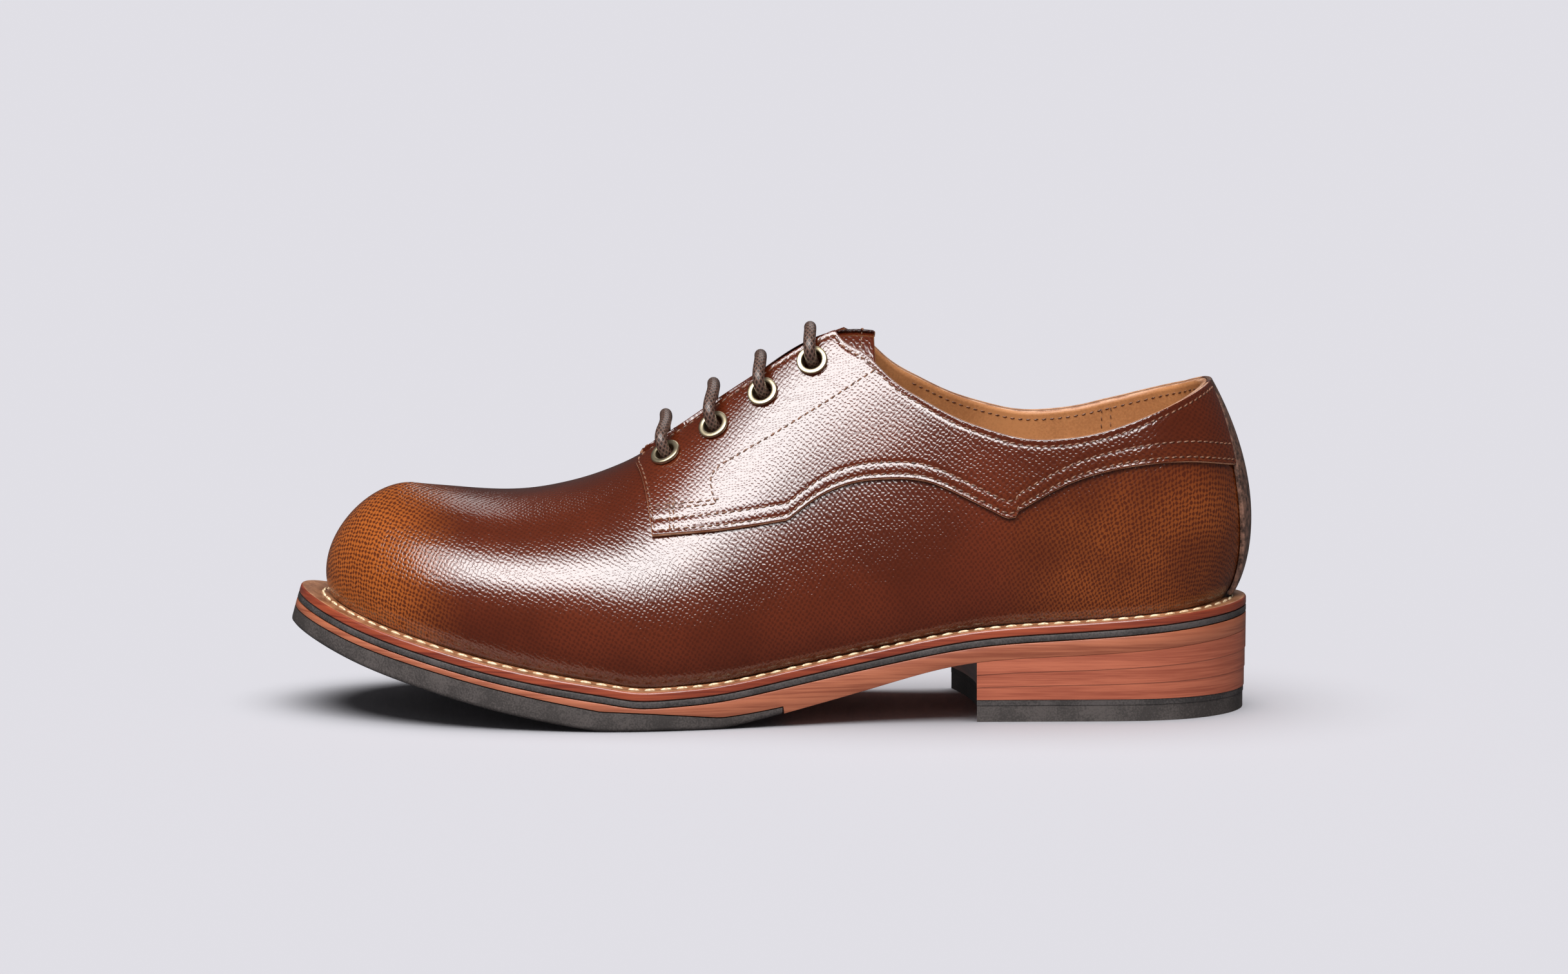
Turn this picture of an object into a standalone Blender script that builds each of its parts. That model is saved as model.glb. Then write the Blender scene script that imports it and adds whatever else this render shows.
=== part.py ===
"""A left derby shoe with a round bulbous toe, swept quarters and a stacked leather heel.

Metres, +Z up. The toe points to -X, the outer side of the foot is -Y and the shoe stands on z = 0.
The origin lies on the floor, below the middle of the shoe.
"""

import math

import bmesh
import bpy
import numpy as np
from mathutils import Matrix, Vector

# Driving sizes of the sole
SOLE_LENGTH = 0.302
BALL_WIDTH = 0.107
WAIST_WIDTH = 0.069
HEEL_WIDTH = 0.069
TOE_OFFSET = 0.007
WELT_WIDTH = 0.0088
WELT_THICK = 0.0028
WELT_EDGE_ROUND = 0.0009
WELT_LEDGE = 0.0055
MIDSOLE_THICK = 0.0022
LEATHER_SOLE_THICK = 0.0030
RUBBER_SOLE_THICK = 0.0048
RUBBER_EDGE_ROUND = 0.0014
WAIST_THINNING = 0.0030
HEEL_LIFT = 0.0229
TOE_SPRING = 0.0262
TOE_LEAN = 0.27
INSOLE_THICK = 0.0025
SOLE_STACK = WELT_THICK + MIDSOLE_THICK + LEATHER_SOLE_THICK + RUBBER_SOLE_THICK

# Driving sizes of the heel
HEEL_LENGTH = 0.0866
HEEL_BREAST_ADVANCE = 0.006
HEEL_BREAST_HOLLOW = 0.004
TOP_PIECE_THICK = 0.0052
TOP_PIECE_PAD_THICK = 0.0018
HEEL_LIFTS = 3
HEEL_TAPER = 0.0008

# Driving sizes of the upper
UPPER_THICK = 0.0020
QUARTER_THICK = 0.0012
BACK_STRIP_THICK = 0.0014
TONGUE_THICK = 0.0018
TOE_BOX_HEIGHT = 0.0440
TOE_BOX_LENGTH = 0.0262
INSTEP_HEIGHT = 0.100
COLLAR_HEIGHT = 0.0575
MEDIAL_COLLAR_RISE = 0.0030
BACK_HEIGHT = 0.0700
HEEL_CURVE_DEPTH = 0.0605
SIDE_BULGE = 0.0055
RIDGE_SWING = 0.005
QUARTER_RISE = 0.0500
THROAT_WIDTH = 0.0140
THROAT_FRONT = 0.1895
THROAT_END_LENGTH = 0.0015
THROAT_BACK = 0.109
BACK_STRIP_WIDTH = 0.025
TONGUE_WIDTH = 0.040
TONGUE_ROOT_WIDTH = 0.0317
TONGUE_FRONT = 0.200
TONGUE_BACK = 0.1195
TONGUE_SAG = 0.0088
TONGUE_CURL = 0.0022
TONGUE_CLEAR = 0.0010
TONGUE_FREE = 0.52
TONGUE_SPREAD = 0.6
TONGUE_LEVEL = 0.95
TONGUE_CORNER_ROUND = 0.006

# Driving sizes of the eyelets and the lace
EYELETS_A_SIDE = 4
EYELET_FIRST = 0.1825
EYELET_PITCH = 0.01515
EYELET_INSETS = (0.0074, 0.0066, 0.0052, 0.0042)
EYELET_HOLE_RADIUS = 0.0031
EYELET_BARREL_WALL = 0.0004
EYELET_FLANGE_RADIUS = 0.0049
EYELET_FLANGE_HEIGHT = 0.0011
LACE_RADIUS = 0.0019
LACE_TAIL = 0.0008
LACE_LIFT = 0.0006
LACE_CROWN = 0.0008
LACE_LEAN = 0.14

# Each lace bar, toe to heel: its rise over the facings, and its shift towards the heel
LACE_BARS = ((0.0030, 0.0020), (0.0028, 0.0020), (0.0018, 0.0012), (0.0014, 0.0008))

# Clearance between pieces that touch
GAP = 0.0003
OVERLAY_GAP = 0.00045

# Step of the leather sole behind the rubber, as a share of the length
RUBBER_START_GAP = GAP / SOLE_LENGTH

# Mesh fineness
SOLE_STATIONS = 42
HEEL_STATIONS = 20
INSOLE_STATIONS = 28
UPPER_REAR_STATIONS = 22
UPPER_FRONT_STATIONS = 13
UPPER_ROWS = 9
ROW_CROWDING = 1.4
RING_SIDES = 12
LACE_STEPS = 2.0
BACK_STRIP_ROWS = 12
BACK_STRIP_COLUMNS = 6
TONGUE_ROWS = 14
TONGUE_HALF_COLUMNS = 5

HEEL_END = SOLE_LENGTH / 2
LATERAL, MEDIAL = -1, 1

# Sole edge seen from above, heel to toe: share of the sole's length, the width that
# the row follows, reach of the outer and inner side, and the welt's share of its width
OUTLINE = (
    (0.000, HEEL_WIDTH, 0.000, 0.000, 0.83),
    (0.030, HEEL_WIDTH, 0.310, 0.300, 0.76),
    (0.090, HEEL_WIDTH, 0.462, 0.460, 0.64),
    (0.180, HEEL_WIDTH, 0.500, 0.490, 0.64),
    (0.300, WAIST_WIDTH, 0.515, 0.455, 0.66),
    (0.420, WAIST_WIDTH, 0.565, 0.425, 0.68),
    (0.530, BALL_WIDTH, 0.439, 0.345, 0.76),
    (0.640, BALL_WIDTH, 0.500, 0.452, 0.84),
    (0.740, BALL_WIDTH, 0.484, 0.490, 0.90),
    (0.840, BALL_WIDTH, 0.407, 0.468, 0.98),
    (0.920, BALL_WIDTH, 0.283, 0.396, 1.08),
    (0.975, BALL_WIDTH, 0.133, 0.263, 1.18),
)
TOE_WELT_SHARE = 1.28

# Height of the tread line: share of the length, shares of the heel lift and toe spring
TREAD = (
    (0.000, 1.000, 0.000),
    (0.110, 0.865, 0.000),
    (0.200, 0.785, 0.000),
    (0.290, 0.690, 0.000),
    (0.377, 0.480, 0.000),
    (0.487, 0.190, 0.000),
    (0.560, 0.030, 0.000),
    (0.600, -0.006, 0.000),
    (0.638, -0.010, 0.000),
    (0.665, 0.000, 0.040),
    (0.690, 0.000, 0.085),
    (0.750, 0.000, 0.198),
    (0.810, 0.000, 0.340),
    (0.870, 0.000, 0.508),
    (0.930, 0.000, 0.699),
    (1.000, 0.000, 1.000),
)

# How much of the waist thinning is taken off below: share of the length, share
THINNING = ((0.00, 0.8), (0.22, 0.9), (0.33, 0.85), (0.40, 0.35), (0.46, 0.0), (1.00, 0.0))

# Thickness of the rubber half sole: share of the length, share of its thickness
RUBBER = ((0.487, 0.42), (0.540, 0.66), (0.600, 1.00), (1.000, 1.00))

# Ridge of the last above the welt: share of the length, shares of the toe box height
# and of the instep height
RIDGE = (
    (0.000, 0.00, 1.160),
    (0.200, 0.00, 1.170),
    (0.300, 0.00, 1.110),
    (0.370, 0.00, 1.090),
    (0.430, 0.00, 1.064),
    (0.470, 0.00, 1.018),
    (0.510, 0.00, 0.950),
    (0.550, 0.00, 0.872),
    (0.589, 0.00, 0.780),
    (0.636, 0.00, 0.676),
    (0.672, 0.00, 0.606),
    (0.714, 0.20, 0.457),
    (0.754, 0.40, 0.326),
    (0.795, 0.60, 0.211),
    (0.834, 0.80, 0.106),
    (0.876, 1.00, 0.000),
    (1.000, 1.00, 0.000),
)

# Form of the sections: share of the length, outer and inner bulge as shares of the side
# bulge, roundness (2 is an ellipse, less is peaked), swing of the ridge, and height of
# the bulge's widest place (more is higher)
SECTIONS = (
    (0.000, 1.70, 1.70, 2.00, 0.00, 0.67),
    (0.050, 1.45, 1.45, 2.00, 0.00, 0.66),
    (0.120, 1.15, 1.15, 2.00, 0.00, 0.62),
    (0.250, 1.00, 0.95, 1.98, -0.10, 0.54),
    (0.360, 1.12, 0.85, 1.60, -0.40, 0.43),
    (0.440, 1.10, 0.85, 1.50, -0.60, 0.46),
    (0.520, 1.02, 0.80, 1.50, -0.70, 0.52),
    (0.600, 0.85, 0.75, 1.66, -0.35, 0.70),
    (0.680, 0.72, 0.70, 2.20, 0.20, 0.82),
    (0.780, 0.50, 0.60, 2.38, 0.75, 0.86),
    (0.880, 0.50, 0.56, 2.12, 1.00, 0.78),
    (1.000, 0.48, 0.48, 2.00, 1.00, 0.70),
)

# Shares of the length past which the sections lean back at the toe and forward at the heel
TOE_LEAN_START = 0.62
TOE_SPRING_START = 0.72
HEEL_LEAN_START = 0.45

# Collar line above the welt: share of the length, shares of the collar height, of the
# instep height and of the back height
COLLAR = (
    (0.000, 0.00, 0.000, 1.00),
    (0.038, 0.00, 0.000, 1.00),
    (0.055, 0.10, 0.000, 0.895),
    (0.080, 0.35, 0.000, 0.650),
    (0.110, 0.70, 0.000, 0.320),
    (0.165, 1.01, 0.000, 0.005),
    (0.205, 1.00, 0.000, 0.000),
    (0.240, 1.015, 0.000, 0.00),
    (0.272, 1.07, 0.000, 0.00),
    (0.311, 1.10, 0.040, 0.00),
    (0.345, 1.00, 0.170, 0.00),
    (0.377, 0.80, 0.367, 0.00),
    (0.404, 0.40, 0.686, 0.00),
    (0.430, 0.00, 0.986, 0.00),
    (0.465, 0.00, 1.300, 0.00),
)

# Lower edge of the quarter above the welt, in three sweeps that meet in corners: share
# of the length, share of the quarter's rise
QUARTER_FRONT_SWEEP = ((0.620, 0.918), (0.562, 0.928), (0.482, 0.916))
QUARTER_SIDE_SWEEP = (
    (0.482, 0.916),
    (0.450, 1.016),
    (0.411, 1.058),
    (0.377, 1.036),
    (0.338, 0.972),
    (0.298, 0.834),
    (0.257, 0.684),
)
QUARTER_BACK_SWEEP = (
    (0.257, 0.684),
    (0.239, 0.738),
    (0.200, 0.852),
    (0.167, 0.914),
    (0.127, 0.948),
    (0.088, 0.950),
    (0.050, 0.915),
    (0.020, 0.860),
)
QUARTER_SWEEPS = (QUARTER_FRONT_SWEEP, QUARTER_SIDE_SWEEP, QUARTER_BACK_SWEEP)
QUARTER_SWEEP_COLUMNS = (8, 11, 10)
QUARTER_ROWS = 6

# Front edge of the facing, bottom to top: share of its height, step towards the toe
FACING_FRONT = ((0.00, 0.0000), (0.50, 0.0030), (0.80, 0.0052), (0.93, 0.0048), (1.00, 0.0022))
FACING_FADE = 0.030
FACING_LEVEL = 0.6
FACING_TOP_LEVEL = 0.9

# Where the quarter's columns turn to follow the back strip: share of the length, angle
STRIP_JOIN = 0.160
STRIP_JOIN_ANGLE = 0.25

# Half width of the back strip, bottom to top: share of its height, share of its width
BACK_STRIP = ((0.00, 0.30), (0.35, 0.50), (0.65, 0.46), (1.00, 0.24))


def curve_through(rows):
    """A smooth function through (place, value) rows: a natural cubic spline."""
    rows = sorted(rows)
    places = np.array([row[0] for row in rows], float)
    values = np.array([row[1] for row in rows], float)
    count = len(places)
    steps = np.diff(places)
    slopes = np.diff(values) / steps
    system = np.eye(count)
    right = np.zeros(count)
    for i in range(1, count - 1):
        system[i, i - 1] = steps[i - 1]
        system[i, i] = 2 * (steps[i - 1] + steps[i])
        system[i, i + 1] = steps[i]
        right[i] = 6 * (slopes[i] - slopes[i - 1])
    bends = np.linalg.solve(system, right)

    def value(at):
        at = np.clip(at, places[0], places[-1])
        i = np.clip(np.searchsorted(places, at) - 1, 0, count - 2)
        step = steps[i]
        before = (places[i + 1] - at) / step
        after = 1 - before
        bent = (before**3 - before) * bends[i] + (after**3 - after) * bends[i + 1]
        return before * values[i] + after * values[i + 1] + bent * step**2 / 6

    return value


def loop_through(rows):
    """A smooth closed function of an angle, through (angle, value) rows of one full turn."""
    rows = sorted(rows)
    lead = 4
    before = [(angle - 2 * math.pi, value) for angle, value in rows[-lead:]]
    after = [(angle + 2 * math.pi, value) for angle, value in rows[:lead]]
    value = curve_through(before + rows + after)
    return lambda angle: value(np.mod(angle, 2 * math.pi))


def angle_of(share):
    """The turn round the sole at which a share of its length is reached, on the outer side."""
    return np.arccos(np.clip(1 - 2 * np.asarray(share, float), -1, 1))


def share_of(x):
    """The share of the sole's length, from the heel, at which x lies."""
    return (HEEL_END - np.asarray(x, float)) / SOLE_LENGTH


def round_rows(rows, outer, inner, heel=None, toe=None):
    """Rows of a loop round the shoe: the outer side from heel to toe, then the inner side."""
    made = []
    for row in rows:
        angle = float(angle_of(row[0]))
        if 0 < row[0] < 1:
            made.append((angle, outer(row)))
            made.append((2 * math.pi - angle, inner(row)))
    first = outer(rows[0]) if heel is None else heel
    last = outer(rows[-1]) if toe is None else toe
    return made + [(0.0, first), (math.pi, last)]


edge_reach = loop_through(
    round_rows(
        OUTLINE,
        lambda row: -row[1] * row[2],
        lambda row: row[1] * row[3],
        toe=TOE_OFFSET,
    )
)
welt_share = loop_through(
    round_rows(OUTLINE, lambda row: row[4], lambda row: row[4], toe=TOE_WELT_SHARE)
)
bulge_share = loop_through(round_rows(SECTIONS, lambda row: row[1], lambda row: row[2]))
roundness = curve_through([(row[0], row[3]) for row in SECTIONS])
bulge_height = curve_through([(row[0], row[5]) for row in SECTIONS])
swing_share = curve_through([(row[0], row[4]) for row in SECTIONS])
tread_height = curve_through(
    [(row[0], row[1] * HEEL_LIFT + row[2] * TOE_SPRING) for row in TREAD]
)
thinning_share = curve_through(THINNING)
rubber_share = curve_through(RUBBER)
ridge_height = curve_through(
    [(row[0], row[1] * TOE_BOX_HEIGHT + row[2] * INSTEP_HEIGHT) for row in RIDGE]
)
collar_height = curve_through(
    [
        (row[0], row[1] * COLLAR_HEIGHT + row[2] * INSTEP_HEIGHT + row[3] * BACK_HEIGHT)
        for row in COLLAR
    ]
)


def smooth_step(share):
    """0 to 1 with a soft start and a soft end."""
    share = np.clip(share, 0, 1)
    return share * share * (3 - 2 * share)


def sole_edge(angle, inset=0.0):
    """The sole's edge seen from above at an angle round it, moved inwards by the inset."""
    angle = np.asarray(angle, float)
    step = 1e-4
    x = HEEL_END * np.cos(angle)
    y = edge_reach(angle)
    ahead = HEEL_END * (np.cos(angle + step) - np.cos(angle - step))
    across = edge_reach(angle + step) - edge_reach(angle - step)
    length = np.hypot(ahead, across)
    return x + across / length * inset, y - ahead / length * inset


def welt_top(x):
    """Height of the welt's upper face."""
    return SOLE_STACK + tread_height(share_of(x))


def tread_bottom(x):
    """Height of the underside in front of the heel, with its flat spot on the floor."""
    share = share_of(x)
    return np.maximum(tread_height(share) + WAIST_THINNING * thinning_share(share), 0.0)


def toe_lean(x):
    """How far the sole's edge leans forward for each unit down from the welt's top."""
    return TOE_LEAN * smooth_step((share_of(x) - TOE_SPRING_START) / (1 - TOE_SPRING_START))


def sole_point(x, y, z):
    """A point of the sole, with the lean of the toe about the middle of the stack."""
    depth = welt_top(x) - z
    leant = x - toe_lean(x) * (depth - SOLE_STACK / 2)
    return leant, y, welt_top(leant) - depth


def new_object(name, mesh, material):
    """A named object of the shoe with one material."""
    obj = bpy.data.objects.new(name, mesh)
    obj.data.materials.append(material)
    SHOE.objects.link(obj)
    mesh.shade_smooth()
    mesh.set_sharp_from_angle(angle=math.radians(35))
    return obj


def mesh_from(name, points, faces):
    """A mesh from points and faces, with points that coincide joined and normals outwards."""
    mesh = bpy.data.meshes.new(name)
    mesh.from_pydata([tuple(map(float, p)) for p in points], [], faces)
    work = bmesh.new()
    work.from_mesh(mesh)
    bmesh.ops.remove_doubles(work, verts=work.verts, dist=1e-6)
    bmesh.ops.dissolve_degenerate(work, edges=work.edges, dist=1e-7)
    bmesh.ops.recalc_face_normals(work, faces=work.faces)
    work.to_mesh(mesh)
    work.free()
    return mesh


def turns_between(first, last, stations=SOLE_STATIONS):
    """Angles on the outer side from one share of the length to another."""
    return np.linspace(float(angle_of(first)), float(angle_of(last)), stations)


def sole_turns():
    """Angles of the layers of the sole, with a pair just behind the rubber half sole."""
    start = RUBBER[0][0]
    behind = turns_between(0.0, start - 2 * RUBBER_START_GAP, SOLE_STATIONS // 2)
    ahead = turns_between(start - RUBBER_START_GAP, 1.0, SOLE_STATIONS // 2)
    return np.concatenate([behind, ahead])


def slab(name, material, levels, angles):
    """A layer of the sole, as wide as its edge at the angles and at their mirror images.

    Each level is (height function of x, inset of the edge), from the underside up.
    """
    stations = len(angles)
    points = []
    for height, inset in levels:
        for turn in (angles, -angles):
            x, y = sole_edge(turn, inset)
            points += list(zip(*sole_point(x, y, height(x))))

    def at(level, side, k):
        return (level * 2 + side) * stations + k

    faces = []
    top = len(levels) - 1
    for k in range(stations - 1):
        faces.append((at(0, 0, k), at(0, 1, k), at(0, 1, k + 1), at(0, 0, k + 1)))
        faces.append((at(top, 0, k), at(top, 0, k + 1), at(top, 1, k + 1), at(top, 1, k)))
    for level in range(top):
        for side in (0, 1):
            for k in range(stations - 1):
                faces.append(
                    (
                        at(level, side, k),
                        at(level, side, k + 1),
                        at(level + 1, side, k + 1),
                        at(level + 1, side, k),
                    )
                )
        for k in (0, stations - 1):
            faces.append((at(level, 0, k), at(level, 1, k), at(level + 1, 1, k), at(level + 1, 0, k)))
    return new_object(name, mesh_from(name, points, faces), material)


def cut(obj, cutter):
    """Takes a cutter away from an object."""
    modifier = obj.modifiers.new("cut", "BOOLEAN")
    modifier.operation = "DIFFERENCE"
    modifier.solver = "EXACT"
    modifier.object = cutter


def new_cutter(name, mesh):
    """A helper shape that only cuts."""
    obj = bpy.data.objects.new(name, mesh)
    CUTTERS.objects.link(obj)
    obj.hide_render = True
    obj.display_type = "WIRE"
    return obj


def make_welt(material):
    """The welt: a strip round the whole shoe with a rounded outer edge, open in the middle."""
    turns = sole_turns()
    angles = np.concatenate([turns, 2 * math.pi - turns[1:-1][::-1]])
    width = WELT_WIDTH * welt_share(angles)
    loops = (
        (WELT_THICK, 0.0 * width),
        (WELT_EDGE_ROUND, 0.0 * width),
        (WELT_EDGE_ROUND * 0.25, WELT_EDGE_ROUND + 0.0 * width),
        (0.0, 2.2 * WELT_EDGE_ROUND + 0.0 * width),
        (0.0, width + WELT_LEDGE),
        (WELT_THICK, width + WELT_LEDGE),
    )
    points = []
    for depth, inset in loops:
        x, y = sole_edge(angles, inset)
        points += list(zip(*sole_point(x, y, welt_top(x) - depth)))
    count = len(angles)
    faces = []
    for i in range(len(loops)):
        j = (i + 1) % len(loops)
        for k in range(count):
            n = (k + 1) % count
            faces.append((i * count + k, i * count + n, j * count + n, j * count + k))
    return new_object("welt", mesh_from("welt", points, faces), material)


def make_sole(materials):
    """The layers under the welt, from the dark midsole down to the rubber half sole."""
    midsole_top = WELT_THICK + GAP
    leather_top = WELT_THICK + MIDSOLE_THICK + GAP

    start = RUBBER[0][0]
    stepped = sole_turns()

    def rubber_top(x):
        return tread_bottom(x) + RUBBER_SOLE_THICK * rubber_share(share_of(x))

    def leather_bottom(x):
        covered = share_of(x) >= start - 1.5 * RUBBER_START_GAP
        return np.where(covered, rubber_top(x) + GAP, tread_bottom(x))

    slab(
        "midsole_rubber",
        materials["dark_rubber"],
        [
            (lambda x: welt_top(x) - WELT_THICK - MIDSOLE_THICK, 0.0),
            (lambda x: welt_top(x) - midsole_top, 0.0),
        ],
        stepped,
    )
    slab(
        "leather_sole",
        materials["sole_leather"],
        [
            (leather_bottom, 0.0),
            (lambda x: welt_top(x) - leather_top, 0.0),
        ],
        stepped,
    )
    slab(
        "rubber_half_sole",
        materials["tread_rubber"],
        [
            (tread_bottom, RUBBER_EDGE_ROUND),
            (lambda x: tread_bottom(x) + 0.3 * RUBBER_EDGE_ROUND, 0.3 * RUBBER_EDGE_ROUND),
            (lambda x: tread_bottom(x) + RUBBER_EDGE_ROUND, 0.0),
            (rubber_top, 0.0),
        ],
        np.concatenate([turns_between(start, start, 1), stepped[SOLE_STATIONS // 2 + 1 :]]),
    )


def breast_cutter():
    """A tall cylinder in front of the heel, whose wall is the hollow slanting breast."""
    outer_x = HEEL_END - HEEL_LENGTH
    inner_x = outer_x - HEEL_BREAST_ADVANCE
    outer = Vector((outer_x, float(edge_reach(angle_of(share_of(outer_x))))))
    inner = Vector((inner_x, float(edge_reach(-angle_of(share_of(inner_x))))))
    chord = inner - outer
    radius = chord.length**2 / (8 * HEEL_BREAST_HOLLOW) + HEEL_BREAST_HOLLOW / 2
    back = Vector((chord.y, -chord.x)).normalized()
    middle = (outer + inner) / 2
    centre = middle + back * (HEEL_BREAST_HOLLOW - radius)
    work = bmesh.new()
    bmesh.ops.create_cone(
        work,
        cap_ends=True,
        segments=256,
        radius1=radius,
        radius2=radius,
        depth=4 * HEEL_LIFT,
        matrix=Matrix.Translation((centre.x, centre.y, HEEL_LIFT)),
    )
    mesh = bpy.data.meshes.new("breast_cutter")
    work.to_mesh(mesh)
    work.free()
    return new_cutter("breast_cutter", mesh)


def make_heel(materials):
    """The heel: rubber top piece, its pad and the leather lifts up to the sole."""
    front = float(share_of(HEEL_END - HEEL_LENGTH - HEEL_BREAST_ADVANCE)) + 0.02
    cutter = breast_cutter()
    pad_bottom = TOP_PIECE_THICK
    stack_bottom = pad_bottom + TOP_PIECE_PAD_THICK

    def taper(share):
        return HEEL_TAPER * (1 - share)

    def lift_height(k):
        return lambda x: stack_bottom + (tread_bottom(x) - stack_bottom) * k / HEEL_LIFTS

    layers = [
        ("top_piece_rubber", "tread_rubber", lambda x: 0 * x, lambda x: 0 * x + pad_bottom),
        ("top_piece_pad", "dark_rubber", lambda x: 0 * x + pad_bottom, lambda x: 0 * x + stack_bottom),
    ]
    for k in range(HEEL_LIFTS):
        layers.append((f"heel_lift_{k + 1}", "heel_leather", lift_height(k), lift_height(k + 1)))
    for k, (name, material, low, high) in enumerate(layers):
        share = k / (len(layers) - 1)
        levels = [
            (low, taper(share)),
            (lambda x, high=high: high(x) - GAP, taper(share)),
        ]
        obj = slab(name, materials[material], levels, turns_between(0.0, front, HEEL_STATIONS))
        cut(obj, cutter)


def ridge_x(angle):
    """How far along the shoe the section at an angle meets the ridge, the same on both sides."""
    share = (1 - np.cos(angle)) / 2
    forward = np.clip((share - TOE_LEAN_START) / (1 - TOE_LEAN_START), 0, 1)
    backward = np.clip((HEEL_LEAN_START - share) / HEEL_LEAN_START, 0, 1)
    toe = TOE_BOX_LENGTH + WELT_WIDTH * TOE_WELT_SHARE
    heel = HEEL_CURVE_DEPTH + WELT_WIDTH * OUTLINE[0][4]
    return HEEL_END - SOLE_LENGTH * share + toe * forward**3 - heel * backward**3


def skin(angle, rise):
    """The outer skin of the upper at an angle round the shoe, for rise 0 (welt) to 1 (ridge)."""
    angle = np.asarray(angle, float)
    rise = np.asarray(rise, float)
    foot_x, foot_y = sole_edge(angle, WELT_WIDTH * welt_share(angle))
    top_x = ridge_x(angle)
    share = share_of(top_x)
    top_y = RIDGE_SWING * swing_share(share)
    power = 2 / roundness(share_of(foot_x))
    turn = np.clip(rise, 0, 1) * math.pi / 2
    inward = 1 - np.cos(turn) ** power
    upward = np.sin(turn) ** power
    out_x, out_y = foot_x - top_x, foot_y - top_y
    length = np.hypot(out_x, out_y)
    bulge = SIDE_BULGE * bulge_share(angle) * np.sin(math.pi * upward ** bulge_height(share_of(foot_x)))
    low = welt_top(foot_x) + GAP
    high = welt_top(top_x) + ridge_height(share)
    x = foot_x - out_x * inward + out_x / length * bulge
    y = foot_y - out_y * inward + out_y / length * bulge
    return np.stack([x, y, low + (high - low) * upward], axis=-1)


def skin_normal(angle, rise):
    """The outward unit normal of the skin."""
    step = 1e-4
    rise = np.clip(rise, 0.02, 1 - 2 * step)
    round_it = skin(angle + step, rise) - skin(angle - step, rise)
    up_it = skin(angle, rise + step) - skin(angle, rise - step)
    normal = np.cross(up_it, round_it)
    return normal / np.linalg.norm(normal, axis=-1, keepdims=True)


def over_skin(angle, rise, height):
    """A point at a height over the skin, or under it where the height is negative."""
    return skin(angle, rise) + skin_normal(angle, rise) * height


def solve_rise(angle, reached):
    """The rise at which reached(points) first becomes true, at each angle, by halving."""
    low = np.zeros_like(angle)
    high = np.ones_like(angle)
    for _ in range(34):
        middle = (low + high) / 2
        past = reached(skin(angle, middle))
        high = np.where(past, middle, high)
        low = np.where(past, low, middle)
    return (low + high) / 2


def side_of(angle):
    """-1 on the outer side of the shoe and 1 on the inner side."""
    return np.where(np.mod(angle, 2 * math.pi) <= math.pi, LATERAL, MEDIAL)


def collar_rise(angle):
    """The rise of the collar line."""
    lift = MEDIAL_COLLAR_RISE * np.where(side_of(angle) == MEDIAL, 1.0, 0.0)
    lift = lift * np.clip((np.sin(angle) ** 2 - 0.15) / 0.35, 0, 1)

    def reached(points):
        line = welt_top(points[..., 0]) + collar_height(share_of(points[..., 0]))
        return points[..., 2] > line + lift

    return solve_rise(angle, reached)


def throat_rise(angle):
    """The rise of the facing's edge, half the throat's width from the ridge."""

    def reached(points):
        ahead = HEEL_END - points[..., 0]
        ridge = RIDGE_SWING * swing_share(share_of(points[..., 0]))
        return (np.abs(points[..., 1] - ridge) < THROAT_WIDTH / 2) & (ahead > THROAT_BACK)

    return solve_rise(angle, reached)


def top_rise(angle):
    """The rise of the facing's edge and of the collar, whichever comes first."""
    return np.minimum(throat_rise(angle), collar_rise(angle))


def rise_over_welt(angle, height):
    """The rise at which the skin stands a height over the welt."""

    def reached(points):
        return points[..., 2] > welt_top(points[..., 0]) + GAP + height

    return solve_rise(angle, reached)


def edge_rise(angle, sweep):
    """The rise of the quarter's lower edge along one of its sweeps."""
    edge = curve_through(sweep)

    def reached(points):
        share = share_of(points[..., 0])
        return points[..., 2] > welt_top(points[..., 0]) + QUARTER_RISE * edge(share)

    return solve_rise(angle, reached)


def angle_at(side, x, rise):
    """The angle round the shoe at which the skin passes x, on one side, at a rise."""
    x = np.asarray(x, float)
    low = np.full_like(x, 0.001)
    high = np.full_like(x, math.pi - 0.001)
    for _ in range(34):
        middle = (low + high) / 2
        ahead = skin(-side * middle, rise)[..., 0] < x
        high = np.where(ahead, middle, high)
        low = np.where(ahead, low, middle)
    return -side * (low + high) / 2


def solidify(obj, thick, offset):
    """Gives an open surface its wall."""
    modifier = obj.modifiers.new("wall", "SOLIDIFY")
    modifier.thickness = thick
    modifier.offset = offset
    modifier.use_even_offset = True
    modifier.use_rim = True


def open_surface(name, grid, material, closed=False):
    """An object from a grid of points, its faces turned to point away from the foot."""
    rows, columns = grid.shape[:2]
    faces = []
    for i in range(rows - 1):
        for k in range(columns if closed else columns - 1):
            n = (k + 1) % columns
            faces.append((i * columns + k, i * columns + n, (i + 1) * columns + n, (i + 1) * columns + k))
    mesh = mesh_from(name, grid.reshape(-1, 3), faces)
    work = bmesh.new()
    work.from_mesh(mesh)
    outward = sum(
        face.normal.dot(face.calc_center_median() - Vector((face.calc_center_median().x, 0, 0.035)))
        for face in work.faces
    )
    if outward < 0:
        bmesh.ops.reverse_faces(work, faces=work.faces)
    work.to_mesh(mesh)
    work.free()
    return new_object(name, mesh, material)


def upper_angles():
    """The angles of the upper's columns, with one pair at the front end of the throat."""
    front = HEEL_END - THROAT_FRONT
    rear = np.linspace(0, float(angle_at(LATERAL, front, FACING_TOP_LEVEL)), UPPER_REAR_STATIONS)
    closed = float(angle_at(LATERAL, front - THROAT_END_LENGTH, FACING_TOP_LEVEL))
    ahead = np.linspace(closed, math.pi, UPPER_FRONT_STATIONS)
    outer = np.concatenate([rear, ahead])
    inner = 2 * math.pi - outer[1:-1][::-1]
    return np.concatenate([outer, inner]), len(rear)


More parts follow.
